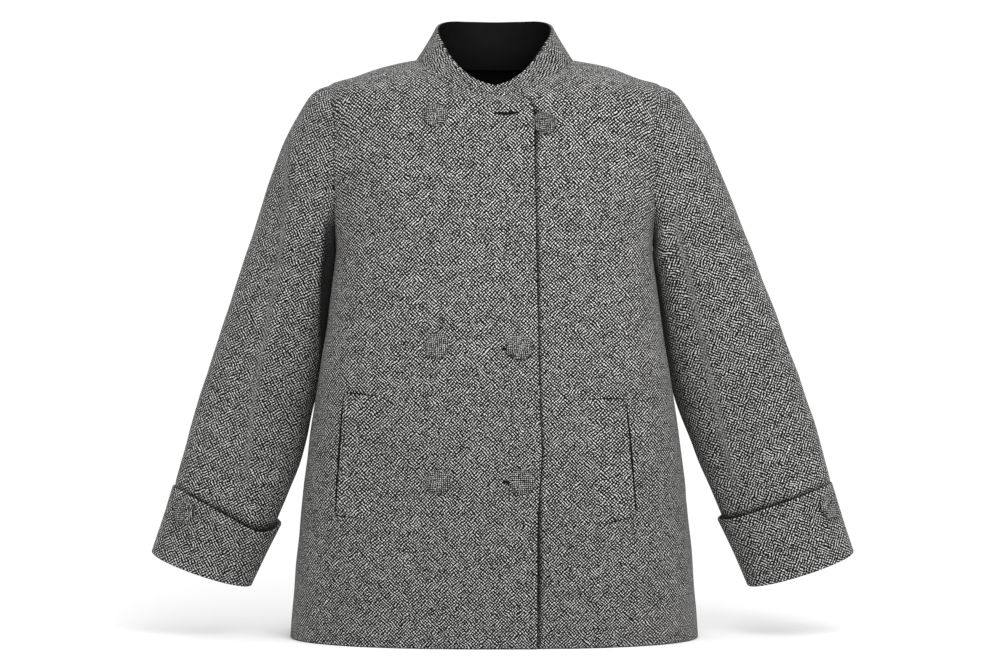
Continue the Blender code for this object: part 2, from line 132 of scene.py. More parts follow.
# Sleeves, from the armhole down to the end inside the cuff
SLEEVE_STATIONS = (
    # outer_x, outer_z, inner_x, inner_z, centre_y, half_depth, front_dip, outer_lean, inner_lean
    (0.199, -0.032, 0.19, -0.213, -0.0025, 0.0655, 0, 0, 0),
    (0.221, -0.043, 0.1925, -0.222, 0.001, 0.066, 0, 0, 0),
    (0.238, -0.07, 0.1935, -0.232, 0.005, 0.066, 0, 0, 0),
    (0.255, -0.101, 0.195, -0.247, 0.011, 0.065, 0, 0.001, 0),
    (0.278, -0.158, 0.199, -0.283, 0.019, 0.062, 0, 0.002, 0),
    (0.304, -0.23, 0.2065, -0.34, 0.025, 0.058, 0, 0.004, 0),
    (0.336, -0.322, 0.2185, -0.412, 0.025, 0.054, 0.001, 0.007, 0),
    (0.369, -0.418, 0.238, -0.475, 0.017, 0.051, 0.002, 0.009, 0.006),
    (0.392, -0.504, 0.262, -0.533, 0.004, 0.047, 0.004, 0.01, 0.007),
    (0.417, -0.583, 0.299, -0.622, -0.008, 0.043, 0.005, 0.01, 0.0062),
)
SLEEVE_END = len(SLEEVE_STATIONS) - 1
SLEEVE_BLEND = 3.0
SLEEVE_COLUMNS = 120
SLEEVE_ROWS = (
    # row, station
    (0, 0),
    (84, 7.6),
    (108, 8.5),
    (120, SLEEVE_END),
)
# Spans of the sine of an angle in which a sleeve's front comes into view, and its painted highlight band
FACING = (0, 0.35)
BAND_FACING = (0, 0.3)
# Spans of the cosine in which a sleeve's inner side, its outer side and its armpit start
INNER_SIDE = (0.3, 0.8)
OUTER_SIDE = (0.1, 0.8)
ARMPIT_SIDE = (0.2, 0.7)
CREASES_START = (0, 1.2)
RIDGE_ANGLE = np.radians(77)
RIDGE_SPREAD = np.radians(15)
RIDGE_HEIGHT = 0.003
BAND_SPREAD = 0.0055
BAND_START = (1.5, 3)
SLEEVE_REST = (
    # station, how far the inner side fills out against the body on the right and on the left
    (0, 0, 0),
    (1, 0.0028, 0.0033),
    (1.5, 0.0046, 0.0052),
    (2, 0.0053, 0.0061),
    (3, 0.0042, 0.0051),
    (4, 0.0036, 0.0037),
    (5, 0.0026, 0.0022),
    (5.75, 0.0012, -0.001),
    (6.25, -0.001, -0.003),
    (7, -0.0003, -0.0012),
    (9, 0, 0),
)
SLEEVE_TUCK = (
    # rows of the seam allowance under the panels: in from their face, out from the armhole
    (0.004, 0.0045),
    (0.0032, 0),
)
ARMPIT_CLOSE = {"right": 0.0021, "left": 0.0027}
ARMPIT_Z = -0.229
ARMPIT_SPREAD = 0.014
SLEEVE_FULL = (
    # station, how far the outer side fills out on the right and on the left
    (0, 0, 0),
    (0.5, 0.0008, 0.0006),
    (1, 0.0012, 0.0012),
    (2, 0.003, 0.0046),
    (3, 0.0028, 0.0044),
    (4, 0.0014, 0.0048),
    (5, 0.0007, 0.0052),
    (6, 0.002, 0.005),
    (7, 0.0008, 0.0036),
    (7.75, 0.002, 0.0034),
    (9, 0, 0),
)
CREVICE = {
    "right": (
        # height, x out to which the sleeve's inner side has painted shade, how dark it is
        (-0.46, 0.232, 0),
        (-0.43, 0.222, 0.45),
        (-0.394, 0.215, 0.9),
        (-0.356, 0.2115, 1),
        (-0.298, 0.2112, 1),
        (-0.24, 0.2085, 1),
        (-0.2, 0.203, 0.85),
        (-0.17, 0.196, 0),
    ),
    "left": (
        (-0.48, 0.248, 0),
        (-0.454, 0.2395, 0.34),
        (-0.415, 0.2312, 0.44),
        (-0.376, 0.222, 0.55),
        (-0.347, 0.214, 0.72),
        (-0.298, 0.2072, 0.88),
        (-0.246, 0.199, 0.92),
        (-0.215, 0.1955, 0.8),
        (-0.175, 0.191, 0),
    ),
}
CREVICE_BLUR = 0.005
CREVICE_FROM = (60, 80)
CREVICE_TO = (228, 208)
HIGHLIGHT_BAND = {
    "right": (
        # height, x of the painted highlight band down the sleeve's front
        (-0.53, 0.302),
        (-0.481, 0.2951),
        (-0.374, 0.2826),
        (-0.284, 0.2654),
        (-0.218, 0.2535),
        (-0.158, 0.2476),
    ),
    "left": (
        (-0.5, 0.2846),
        (-0.396, 0.2619),
        (-0.334, 0.2483),
        (-0.29, 0.2387),
        (-0.256, 0.231),
        (-0.2, 0.2174),
        (-0.166, 0.2093),
    ),
}

# Turn-back cuffs. Angles go round the sleeve from its outer side by way of the front.
CUFF_TABLE = {
    "right": (
        # angle, height, stand_off
        (0, 0.08, 0.001),
        (50, 0.081, 0.002),
        (90, 0.075, 0.004),
        (135, 0.065, 0.0065),
        (180, 0.076, 0.004),
        (270, 0.078, 0.0025),
    ),
    "left": (
        (0, 0.084, 0.001),
        (50, 0.086, 0.002),
        (90, 0.086, 0.0035),
        (135, 0.083, 0.005),
        (180, 0.082, 0.0035),
        (270, 0.083, 0.0025),
    ),
}
CUFF_SHADE_SPREAD = 0.0035
CUFF_LOOSE = 0.0022
UNDER_CUFF = (-0.1, 0.06)
CUFF_CURVE = 1.5
CUFF_STEPS = 17
CUFF_FOLD_STEPS = 7
# Rows of a cuff's outline that make the leaf that shows
CUFF_LEAF = slice(CUFF_STEPS + CUFF_FOLD_STEPS + 2, 2 * CUFF_STEPS + CUFF_FOLD_STEPS + 3)

# Collar, with the height of its top edge round the neck from the centre front
COLLAR_TOP = (
    # angle, top_z
    (-15.5, -0.0368),
    (0, -0.031),
    (12, -0.0265),
    (25, -0.018),
    (36, -0.0075),
    (52, 0.009),
    (64, 0.0235),
    (90, 0.0425),
    (120, 0.0535),
    (150, 0.0555),
    (180, 0.0555),
)
COLLAR_HALF_WIDTH = 0.0705
COLLAR_FRONT = 0.0735
COLLAR_BACK = 0.062
COLLAR_FLARE = 1.05
COLLAR_FULL_RISE = 0.011
COLLAR_START = -15.5
COLLAR_END = 366.0
LINING_START = 10.0
LINING_END = 358.0
LINING_DROP = 0.09
COLLAR_COLUMNS = 190
COLLAR_ROWS = 18

# Buttons, cloth-covered domes
BUTTON_RADIUS = 0.0145
BUTTON_HEIGHT = 0.0065
BUTTON_SIDES = 48
BUTTON_RINGS = 16
BUTTON_WEAVE = 0.76
BUTTON_GATHERS = 13
GATHER_DEPTH = 0.012
# Heights over which a button's painted rim shade fades out upwards, and eases off at its foot
RIM_SHADE_SPAN = (0.66, 0.3)
FOOT_LIGHT_SPAN = (0, 0.22)
BUTTON_PROFILE = (
    # radius, height
    (0.82, 0),
    (1, 0.24),
    (0.93, 0.58),
    (0.68, 0.86),
    (0.36, 0.97),
    (0, 1),
)
TOP_UNDER_BUTTON = (0.058, -0.077)
FRONT_BUTTONS = (
    # name, front, x, z, painted shade of its dome, painted shade of its rim, turn of the rim's darkest
    # part
    ("button_right_top", "right", -0.069, -0.069, 0, 0.72, 0.6),
    ("button_right_middle", "right", -0.065, -0.338, 0, 0.82, 0.2),
    ("button_right_bottom", "right", -0.063, -0.494, 0.08, 0.7, 2.6),
    ("button_left_middle", "right", 0.029, -0.34, 0, 0.55, 1.2),
    ("button_left_bottom", "right", 0.032, -0.494, 0, 0.55, 2),
    ("button_left_top", "left", *TOP_UNDER_BUTTON, 0.22, 0.88, 0.3),
)
CUFF_BUTTON_SEAT = 0.0007
CUFF_BUTTONS = (
    # side, angle, height, painted shade of its dome, painted shade of its rim, turn of the rim's darkest
    # part
    ("right", 51, 0.062, 0.05, 0.75, 1.4),
    ("left", 38, 0.063, 0.05, 0.75, 0.4),
)
BUTTONHOLES = (
    # name, start_x, end_x, z, half_height
    ("buttonhole_top", -0.0008, 0.028, -0.0655, 0.002),
    ("buttonhole_middle", 0.0075, 0.023, -0.3415, 0.002),
    ("buttonhole_bottom", 0.009, 0.025, -0.4945, 0.0022),
)
SLIT_LIFT = 0.0004
SLIT_TIP = 0.01
HOLE_TAPER = 0.35
STRIP_TAPER = 0.4
HOLE_WAVER = 0.0003

# Pocket welts, as the four corners of each on its front
WELT_WALL = 0.0022
WELT_LIFT = 0.0015
WELTS = (
    # side, free_top, free_bottom, sewn_top, sewn_bottom
    ("right", (-0.175, -0.393), (-0.184, -0.535), (-0.133, -0.397), (-0.142, -0.538)),
    ("left", (0.153, -0.4), (0.164, -0.534), (0.11, -0.4), (0.122, -0.545)),
)
WELT_NARROWED = 0.035
WELT_ROUNDING = 0.09
WELT_SLENDERNESS = 3
WELT_THINNED = 0.86
# Strips of dark lining along the welts' edges: the pockets' dark openings at their free edges, painted
# shadow lines at their tops and bottoms
POCKET_SHADOW_STRIPS = (
    # side, edge of the welt, start and end along it, out from it, half_width
    ("right", "free", 0.01, 0.99, 0.001, 0.0025),
    ("right", "top", 0.02, 0.98, 0.0004, 0.0016),
    ("right", "bottom", -0.04, 0.34, 0.0006, 0.001),
    ("left", "free", 0.03, 0.97, 0.001, 0.002),
    ("left", "top", 0, 1.03, 0.0004, 0.0014),
    ("left", "bottom", 0.06, 0.82, 0.0006, 0.0009),
)

# Creases in mm, from one end to the other as seen from the front or from the back.
# A trough has a depth below 0, and bow moves the middle of a crease to its left.
CREASE_FADE = (-0.12, 0.3)
FRONT_CREASES = (
    # start_x, start_z, end_x, end_z, bow, half_width, depth
    (-93, 2, -130, -97, 4, 6, -0.8),
    (83, 12, 112, -78, -4, 6, -0.8),
    (20, -348, 48, -366, 2, 4, -1.3),
    (12, -352, -20, -372, -2, 6, -0.7),
    (-84, -328, -85, -352, 1, 3, -0.9),
    (-49, -328, -47, -354, 1, 3, -0.9),
    (-80, -485, -104, -512, 2, 6, -0.7),
    (-198, -343, -172, -351, 2, 4, -1.1),
    (-200, -362, -178, -366, -1, 4, -1),
    (-60, -606, -8, -652, 5, 8, -1.4),
    (-24, -590, 8, -612, 3, 7, -0.8),
    (232, -519, 203, -532, 2, 4, -1.3),
    (-150, -150, -112, -226, 6, 14, -1),
    (150, -168, 118, -240, -6, 14, -0.9),
    (-150, -520, -168, -690, 4, 20, 1.4),
    (-92, -470, -98, -690, -4, 22, -1.3),
    (100, -560, 108, -690, 3, 20, -1.2),
    (172, -560, 186, -690, -3, 22, 1.4),
    (-20, -240, 26, -268, 3, 10, -0.6),
    (96, -268, 150, -290, 3, 11, -0.7),
)
BACK_CREASES = (
    (-140, -140, -96, -232, 6, 14, -1.4),
    (146, -150, 110, -246, -6, 15, -1.3),
    (-60, -80, -84, -190, 4, 13, -0.9),
    (54, -92, 70, -182, -4, 12, -0.8),
    (-178, -336, -120, -356, 4, 6, -1.2),
    (186, -350, 128, -344, -3, 7, -1.1),
    (-150, -470, -172, -690, 4, 22, 1.6),
    (-70, -450, -80, -690, -4, 24, -1.5),
    (12, -500, 10, -690, 3, 22, 1.3),
    (92, -440, 104, -690, -3, 24, -1.6),
    (170, -520, 190, -690, 4, 20, 1.4),
)
SLEEVE_CREASES = {
    "right": (
        (-254, -150, -284, -307, -5, 11, -1.3),
        (-281, -290, -312, -520, -4, 12, -1.5),
        (-240, -160, -262, -300, -4, 12, 1.3),
        (-262, -300, -284, -470, 3, 14, 1.2),
        (-255, -452, -268, -474, 1, 4, -1.3),
        (-330, -330, -296, -372, 3, 9, -1.1),
        (-232, -330, -262, -352, -3, 8, -1),
        (-344, -420, -318, -440, 3, 8, -0.9),
        (-214, -110, -236, -196, 4, 9, -0.9),
        (-300, -190, -272, -226, 3, 10, -0.8),
    ),
    "left": (
        (197, -170, 230, -330, -3, 9, 1.6),
        (228, -320, 268, -510, -3, 10, 1.5),
        (238, -180, 276, -345, 4, 13, -1.9),
        (274, -330, 304, -515, 3, 13, -2.2),
        (330, -300, 296, -338, -3, 9, -1),
        (246, -384, 282, -402, 3, 8, -1),
        (352, -420, 322, -446, -3, 9, -1),
        (318, -470, 286, -482, 2, 7, -0.8),
        (216, -112, 240, -190, -4, 9, -0.8),
    ),
}
SLEEVE_BACK_CREASES = (
    # x is out from the body, on either sleeve
    (205, -250, 262, -318, 5, 10, -1.5),
    (214, -330, 300, -352, 6, 9, -1.8),
    (226, -372, 318, -402, -5, 10, -1.6),
    (330, -290, 272, -330, 4, 10, -1.1),
    (250, -430, 340, -470, 5, 11, -1.2),
    (222, -120, 236, -230, 4, 12, -1),
    (284, -480, 320, -540, 3, 10, 1.1),
)
CUFF_CREASES = {
    "right": ((-392, -541, -318, -584, -4, 3, -1.2), (-356, -531, -355, -546, 0, 2, -1)),
    "left": ((372, -516, 381, -538, 3, 2, -1.1), (402, -535, 366, -545, 3, 4, -0.8)),
}
WAVES = (
    # across and up in waves a metre, phase, height in mm
    (9, 4, 0.3, 0.3),
    (-14, 8, 1.9, 0.2),
    (5, -13, 4.1, 0.24),
    (21, 17, 2.6, 0.12),
    (-26, 11, 5.2, 0.1),
)

# Weave
PERIOD = 0.00297
WAVER_CELLS = 130
WAVER = 0.0048
WEAVE_PATCHES = (
    # cells a metre, share of the noise cut off at either end, lowest value, highest value
    (85, 0.28, 0.16, 0.84),
    (460, 0.2, -0.8, 0.8),
    (90, 0.25, -0.16, 0.16),
    (24, 0.25, -0.05, 0.05),
)
# Tones of the threads: place from dark to light, grey
TONES = ((0, 0.0022), (0.25, 0.025), (0.5, 0.108), (0.75, 0.27), (1, 0.53))
TINT = np.array((1, 0.992, 0.965))
# Weave evened out towards a lighter tone where marked: a little all over the sleeves and cuffs, and
# strongly in a painted highlight band down each sleeve's front
EVENED_TONE = 0.58
EVENED_SHARE = 0.8
THREAD_RELIEF = (0.55, 0.0004)
TWILL = (5200, 2600, 0)
TWILL_RELIEF = (0.2, 0.0001)
LEAST_SPREAD = 0.75
TIGHTER_DOWN = 0.17
CHEST_Z = -0.2
SOFTENED = 0.16
CUFF_SOFTENED = {"right": 0.22, "left": 0.1}
# Painted shade: the fronts darker low down
LOWER_SHADE = 0.08
LOWER_SHADE_SPAN = (-0.3, -0.55)
# Painted shade: the collar's outside a little darker all over, and its lining darker towards its bottom
COLLAR_SHADE = 0.12
LINING_SHADE_SPAN = (0.6, -0.1)
SLEEVE_GRAIN = {"right": 0.0, "left": 5.0}
SLEEVE_COARSE = {"right": 1.0, "left": 1.02}


def smooth_row(table, position):
    """Row of a table at a fractional position, on a curve through all of its rows."""
    rows = np.asarray(table, dtype=float)
    rows = np.vstack((2 * rows[0] - rows[1], rows, 2 * rows[-1] - rows[-2]))
    place = np.clip(np.asarray(position, dtype=float), 0, len(rows) - 3)
    low = np.minimum(place.astype(int), len(rows) - 4)
    part = (place - low)[..., None]
    a, b, c, d = (rows[low + step] for step in range(4))
    cubic = 3 * (b - c) + d - a
    square = 2 * a - 5 * b + 4 * c - d
    return b + 0.5 * part * (c - a + part * (square + part * cubic))


def smooth_value(table, place, period=None):
    """Second and later columns of a table at a place in its first column."""
    rows = np.asarray(table, dtype=float)
    if period:
        rows = np.vstack((rows[-1], rows, rows[0]))
        rows[0, 0] -= period
        rows[-1, 0] += period
        place = np.mod(place, period)
    position = np.interp(place, rows[:, 0], np.arange(len(rows)))
    return np.moveaxis(smooth_row(rows[:, 1:], position), -1, 0)


def ease(value, start=0, end=1):
    """Soft step from 0 at the start to 1 at the end."""
    part = np.clip((value - start) / (end - start), 0, 1)
    return part * part * (3 - 2 * part)


def unit(vectors):
    """Vectors scaled to length one."""
    return vectors / np.linalg.norm(vectors, axis=-1, keepdims=True)


def bump(distance, spread):
    """Soft hump, 1 at no distance."""
    return np.exp(-((distance / spread) ** 2))


def torso(ring, angle):
    """Point of the torso's outer face, with angle 0 at the centre front and 90 degrees at +X."""
    row = np.moveaxis(smooth_row(TORSO_RINGS, ring), -1, 0)
    side_z, front_z, back_z, width, front, back, squareness = row
    ahead = np.cos(angle) > 0
    depth = np.where(ahead, front, back)
    end_z = np.where(ahead, front_z, back_z)
    across = np.abs(np.sin(angle) / width) ** squareness
    along = np.abs(np.cos(angle) / depth) ** squareness
    reach = (across + along) ** (-1 / squareness)
    height = side_z + (end_z - side_z) * np.cos(angle) ** 2
    return np.stack((reach * np.sin(angle), -reach * np.cos(angle), height), axis=-1)


def torso_normal(ring, angle):
    """Outward direction of the torso's face."""
    step = 0.02
    along = torso(ring + step, angle) - torso(ring - step, angle)
    across = torso(ring, angle + step) - torso(ring, angle - step)
    return unit(np.cross(across, along))


def angle_at_x(ring, place):
    """Angle of the front's point whose x is a number, or a function of its height."""
    angle = np.zeros_like(np.asarray(ring, dtype=float))
    for _ in range(25):
        point = torso(ring, angle)
        wanted = place(point[..., 2]) if callable(place) else place
        angle = np.arctan2(wanted, -point[..., 1])
    return angle


def front_place(x, z):
    """Ring and angle of the point of the front at x and z."""
    low = np.zeros_like(np.asarray(x, dtype=float))
    high = low + NECK_RING
    for _ in range(40):
        ring = (low + high) / 2
        below = torso(ring, angle_at_x(ring, x))[..., 2] < z
        low = np.where(below, ring, low)
        high = np.where(below, high, ring)
    return ring, angle_at_x(ring, x)


def front_edge(z):
    """x of the free edge of the right front, with its rounded top corner."""
    heights, places = np.transpose(FRONT_EDGE)
    neck_z = TORSO_RINGS[NECK_RING][1]
    rise = np.clip((z - neck_z) / FRONT_CORNER + 1, 0, 1)
    return np.interp(z, heights, places) - FRONT_CORNER * (1 - np.sqrt(1 - rise ** 2))


def step_in(x):
    """Offset of the left front, which steps in where the right front lies over it."""
    return -STEP_IN * ease(x, STEP_START, STEP_END)


def edge_lift(x, z):
    """Offset of the right front, whose edge is loose and stands off the button below it."""
    away = np.hypot(x - TOP_UNDER_BUTTON[0], z - TOP_UNDER_BUTTON[1])
    stand = smooth_value(EDGE_STAND, z)[0]
    loose = stand * bump(np.minimum(x - front_edge(z), 0), EDGE_STAND_SPREAD)
    return EDGE_LIFT * np.exp(-0.5 * (away / EDGE_LIFT_SPREAD) ** 2) + loose


def crease_relief(rows, x, z):
    """Height of soft troughs and ridges at x and z."""
    relief = np.zeros(np.shape(x))
    for start_x, start_z, end_x, end_z, bow, half_width, depth in rows:
        along_x, along_z = end_x - start_x, end_z - start_z
        length = np.hypot(along_x, along_z)
        from_x, from_z = x / MM - start_x, z / MM - start_z
        part = (from_x * along_x + from_z * along_z) / length ** 2
        side = (from_z * along_x - from_x * along_z) / length
        inside = np.clip(part, 0, 1)
        side = side - 4 * bow * inside * (1 - inside)
        fade = ease(part, *CREASE_FADE) * ease(1 - part, *CREASE_FADE)
        relief = relief + depth * MM * fade * bump(side, half_width)
    return relief


def unevenness(x, z):
    """Low waves of handled cloth."""
    turns = [2 * np.pi * (across * x + up * z) + phase for across, up, phase, _ in WAVES]
    return sum(wave[3] * MM * np.sin(turn) for wave, turn in zip(WAVES, turns))


def panel_offset(panel, points):
    """Offset of the right front, the left front or the back from the torso's face."""
    x, z = points[..., 0], points[..., 2]
    if panel == "back":
        return crease_relief(BACK_CREASES, x, z) + unevenness(x, z)
    relief = crease_relief(FRONT_CREASES, x, z) + unevenness(x, z)
    return relief + (step_in(x) if panel == "left" else edge_lift(x, z))


def armhole(ring, spread):
    """Angle that the armhole takes from a panel beside the side seam."""
    lift = (ring - ARMHOLE_MIDDLE) / ARMHOLE_HALF
    return spread * np.sqrt(np.clip(1 - lift ** 2, 0, None))


def panel_rows():
    """Rings of a panel's rows in its middle and at its side, fanned out round the armhole."""
    turn = np.linspace(np.pi, 0, ROWS_BESIDE + 1)
    beside = ARMHOLE_MIDDLE + ARMHOLE_HALF * np.cos(turn)
    below = np.linspace(0, ARMPIT_RING, ROWS_BELOW + 1)[:-1]
    above = np.linspace(SHOULDER_RING, NECK_RING, ROWS_ABOVE + 1)[1:]
    side = np.concatenate((below, beside, above))
    knots = (0, ARMPIT_RING, SHOULDER_RING, NECK_RING)
    fanned = (0, ARMPIT_RING - FAN_BELOW, SHOULDER_RING + FAN_ABOVE, NECK_RING)
    even = np.concatenate((below, np.linspace(ARMPIT_RING, SHOULDER_RING, ROWS_BESIDE + 1), above))
    return np.interp(even, knots, fanned), side


def between(start, end, part):
    """Grid whose rows run from one value to another."""
    return start[:, None] + (end - start)[:, None] * part


def running(steps, axis):
    """Running sums of steps along the rows or columns of a grid, from 0."""
    start = np.zeros_like(np.take(steps, [0], axis=axis))
    return np.concatenate((start, np.cumsum(steps, axis=axis)), axis=axis)


def lengths(points, axis):
    """Length along rows or columns of a grid of points, from its first point."""
    return running(np.linalg.norm(np.diff(points, axis=axis), axis=-1), axis)


def across_lengths(points, up):
    """Length along each row of a grid of points, less what the row climbs."""
    steps = np.linalg.norm(np.diff(points, axis=1), axis=-1)
    return running(np.sqrt(np.maximum(steps ** 2 - np.diff(up, axis=1) ** 2, 0)), 1)


def seen_lengths(place, true, axis):
    """Length along a grid as seen from the front, with no step below a share of its true length."""
    steps = np.abs(np.diff(place, axis=axis))
    return running(np.maximum(steps, LEAST_SPREAD * np.diff(true, axis=axis)), axis)


def turned(across, up, degrees):
    """Weave coordinates turned about their origin."""
    cos, sin = np.cos(np.radians(degrees)), np.sin(np.radians(degrees))
    return np.stack((cos * across - sin * up, sin * across + cos * up), axis=-1)


def seam_dip(distance, z):
    """Dip of a panel beside one of its seams, lost over the shoulders."""
    return -SEAM_DIP * bump(distance, SEAM_SPREAD) * ease(z, SHOULDER_TOP, SHOULDER_TOP - SHOULDER_FADE)


def shoulder_fill(points):
    """Lift of the cloth over the rounded ends of the shoulders."""
    place = np.stack((np.abs(points[..., 0]), points[..., 1], points[..., 2]), axis=-1)
    away = np.linalg.norm(place - SHOULDER_TIP, axis=-1)
    return SHOULDER_RISE * bump(away, SHOULDER_SPREAD)[..., None] * (0, 0, 1)


def grid(down, across):
    """Place down and place across of every point of a grid."""
    return np.meshgrid(down, across, indexing="ij")


def grid_cells(rows, columns):
    """Rows and columns of the four corners of each cell of a grid."""
    row, column = (index.reshape(-1, 1) for index in grid(np.arange(rows), np.arange(columns)))
    return row + (0, 0, 1, 1), column + (0, 1, 1, 0)


def shell(name, walls, uv, wrap=False, marks=(), inner_slot=1, rim_slots=PLAIN_RIMS):
    """Closed wall between two grids of points, whose inner face has the lining."""
    outer, inner = walls
    rows, columns = outer.shape[:2]
    across = columns if wrap else columns - 1
    row, column = grid_cells(rows - 1, across)
    # Rows, columns and walls of the corners of the outer face, the inner face and the rims
    groups = [(row, column, OUTER_FACE), (row[:, ::-1], column[:, ::-1], INNER_FACE)]
    ends, sides = (np.arange(count)[:, None] + (0, 1, 1, 0) for count in (across, rows - 1))
    groups += [(np.full_like(ends, at), ends, RIM_FACE) for at in (0, rows - 1)]
    if not wrap:
        groups += [(sides, np.full_like(sides, at), RIM_FACE) for at in (0, columns - 1)]
    faces = [row * columns + column % columns + wall * (rows * columns) for row, column, wall in groups]
    places = np.concatenate([row * uv.shape[1] + column for row, column, _ in groups])
    slots = [np.full(len(face), slot) for face, slot in zip(faces, (0, inner_slot, *rim_slots))]
    points = np.concatenate((outer.reshape(-1, 3), inner.reshape(-1, 3)))
    shades = {key: np.tile(value.ravel(), 2) for key, value in dict(marks).items()}
    piece = cloth_piece(name, points, np.concatenate(faces), uv.reshape(-1, 2)[places], shades)
    piece.data.polygons.foreach_set("material_index", np.concatenate(slots))
    return piece


def mesh_piece(name, points, faces, uv, shades, finishes):
    """Smooth-shaded mesh with a place in the weave for each corner of its faces."""
    mesh = bpy.data.meshes.new(name)
    mesh.from_pydata(points.tolist(), [], faces)
    mesh.uv_layers.new(name="weave").data.foreach_set("uv", uv.reshape(-1))
    # Marks on the points: the evened weave with its painted highlight band, and the painted shade
    for key in ("softening_and_highlight", "painted_shade"):
        values = shades.get(key, np.zeros(len(points)))
        mesh.attributes.new(key, "FLOAT", "POINT").data.foreach_set("value", values.astype(np.float32))
    for finish in finishes:
        mesh.materials.append(finish)
    mesh.shade_smooth()
    piece = bpy.data.objects.new(name, mesh)
    bpy.context.collection.objects.link(piece)
    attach(piece, "root")
    return piece


def cloth_piece(name, points, faces, uv, shades):
    """Closed mesh of tweed and lining, with its faces turned out and its rims sharp."""
    piece = mesh_piece(name, points, faces.tolist(), uv, shades, (TWEED, LINING))
    shape = bmesh.new()
    shape.from_mesh(piece.data)
    bmesh.ops.recalc_face_normals(shape, faces=shape.faces)
    shape.to_mesh(piece.data)
    shape.free()
    piece.data.set_sharp_from_angle(angle=np.radians(50))
    return piece


def line_all(piece):
    """Give all of a piece's faces the lining."""
    piece.data.polygons.foreach_set("material_index", np.ones(len(piece.data.polygons), int))


def soft_edges(piece, width=0.0002):
    """Round the rims of a cloth wall a little."""
    edge = piece.modifiers.new("soft_edges", "BEVEL")
    edge.width = width
    edge.segments = 2
    edge.limit_method = "ANGLE"
    edge.angle_limit = np.radians(55)


def cloth(made, node):
    """Hide the imported part of a node, which a cloth piece stands for. The piece itself is not used."""
    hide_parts(node)


def panel_weave(across, x, up, z, middle=0):
    """Places in a panel's weave, which is a little finer towards the hem."""
    seen = seen_lengths(x, across, 1) * np.sign(x[0, -1] - x[0, 0])
    flat_x = seen + (x - seen)[:, middle][:, None]
    flat_z = seen_lengths(z, up, 0) + z[:1]
    below = CHEST_Z - flat_z
    return np.stack((flat_x * (1 + TIGHTER_DOWN * below), flat_z - TIGHTER_DOWN * below ** 2 / 2), axis=-1)


def side_seam(ring, spread):
    """Angle between the side and a panel's edge, along its side seam and armhole."""
    return armhole(ring, spread) + SEAM / 2 / smooth_row(TORSO_RINGS, ring)[:, 3]


def front_columns(side):
    """Places of a front's columns from free edge to seam, closer beside the overlap."""
    if side == "right":
        return np.linspace(0, 1, FRONT_COLUMNS) ** RIGHT_CROWDING
    return np.interp(np.arange(FRONT_COLUMNS), *np.transpose(LEFT_COLUMNS))


def front_shade(side, x, z):
    """Painted shade of a front, low down and, on the left one, beside the overlap."""
    shade = LOWER_SHADE * ease(z, *LOWER_SHADE_SPAN)
    if side == "right":
        return shade
    _, dark, wide = smooth_value(EDGE_STAND, z)
    return np.maximum(shade, dark * ease(np.maximum(x - front_edge(z), 0), 1.2 * wide, 0.2 * wide))


def panel_piece(name, panel, ring, angle, seams, rims):
    """A front or the back over its part of the torso, with its seams at some of its columns."""
    base, normal = torso(ring, angle), torso_normal(ring, angle)
    up = lengths(base, 0)
    across = across_lengths(base, up)
    x, z = base[..., 0], base[..., 2]
    offset = panel_offset(panel, base) + sum(seam_dip(across[:, [seam]] - across, z) for seam in seams)
    outer = base + offset[..., None] * normal + shoulder_fill(base)
    if panel == "back":
        uv, marks = panel_weave(across, -x, up, z, middle=x.shape[1] // 2), ()
    else:
        uv, marks = panel_weave(across, x, up, z), {"painted_shade": front_shade(panel, x, z)}
    piece = shell(name, (outer, outer - WALL * normal), uv, marks=marks, rim_slots=rims)
    soft_edges(piece)
    return piece, base


def front_piece(side):
    """One front, from its free edge to its side seam."""
    middle_ring, side_ring = panel_rows()
    start = angle_at_x(middle_ring, front_edge if side == "right" else UNDER_EDGE)
    seam = np.pi / 2 - side_seam(side_ring, ARMHOLE_FRONT_SPREAD)
    part = front_columns(side)
    angle = between(start, OUT[side] * seam, part)
    ring = between(middle_ring, side_ring, part ** ARMHOLE_FAN)
    return panel_piece("cloth_front_" + side, side, ring, angle, (-1,), FRONT_RIMS)


def back_piece():
    """The back, from side seam to side seam."""
    middle_ring, side_ring = panel_rows()
    seam = np.pi / 2 + side_seam(side_ring, ARMHOLE_BACK_SPREAD)
    part = np.linspace(0, 1, BACK_COLUMNS + 1)
    angle = between(seam, 2 * np.pi - seam, part)
    ring = between(middle_ring, side_ring, np.abs(2 * part - 1) ** ARMHOLE_FAN)
    return panel_piece("cloth_back", "back", ring, angle, (0, -1), BACK_RIMS)


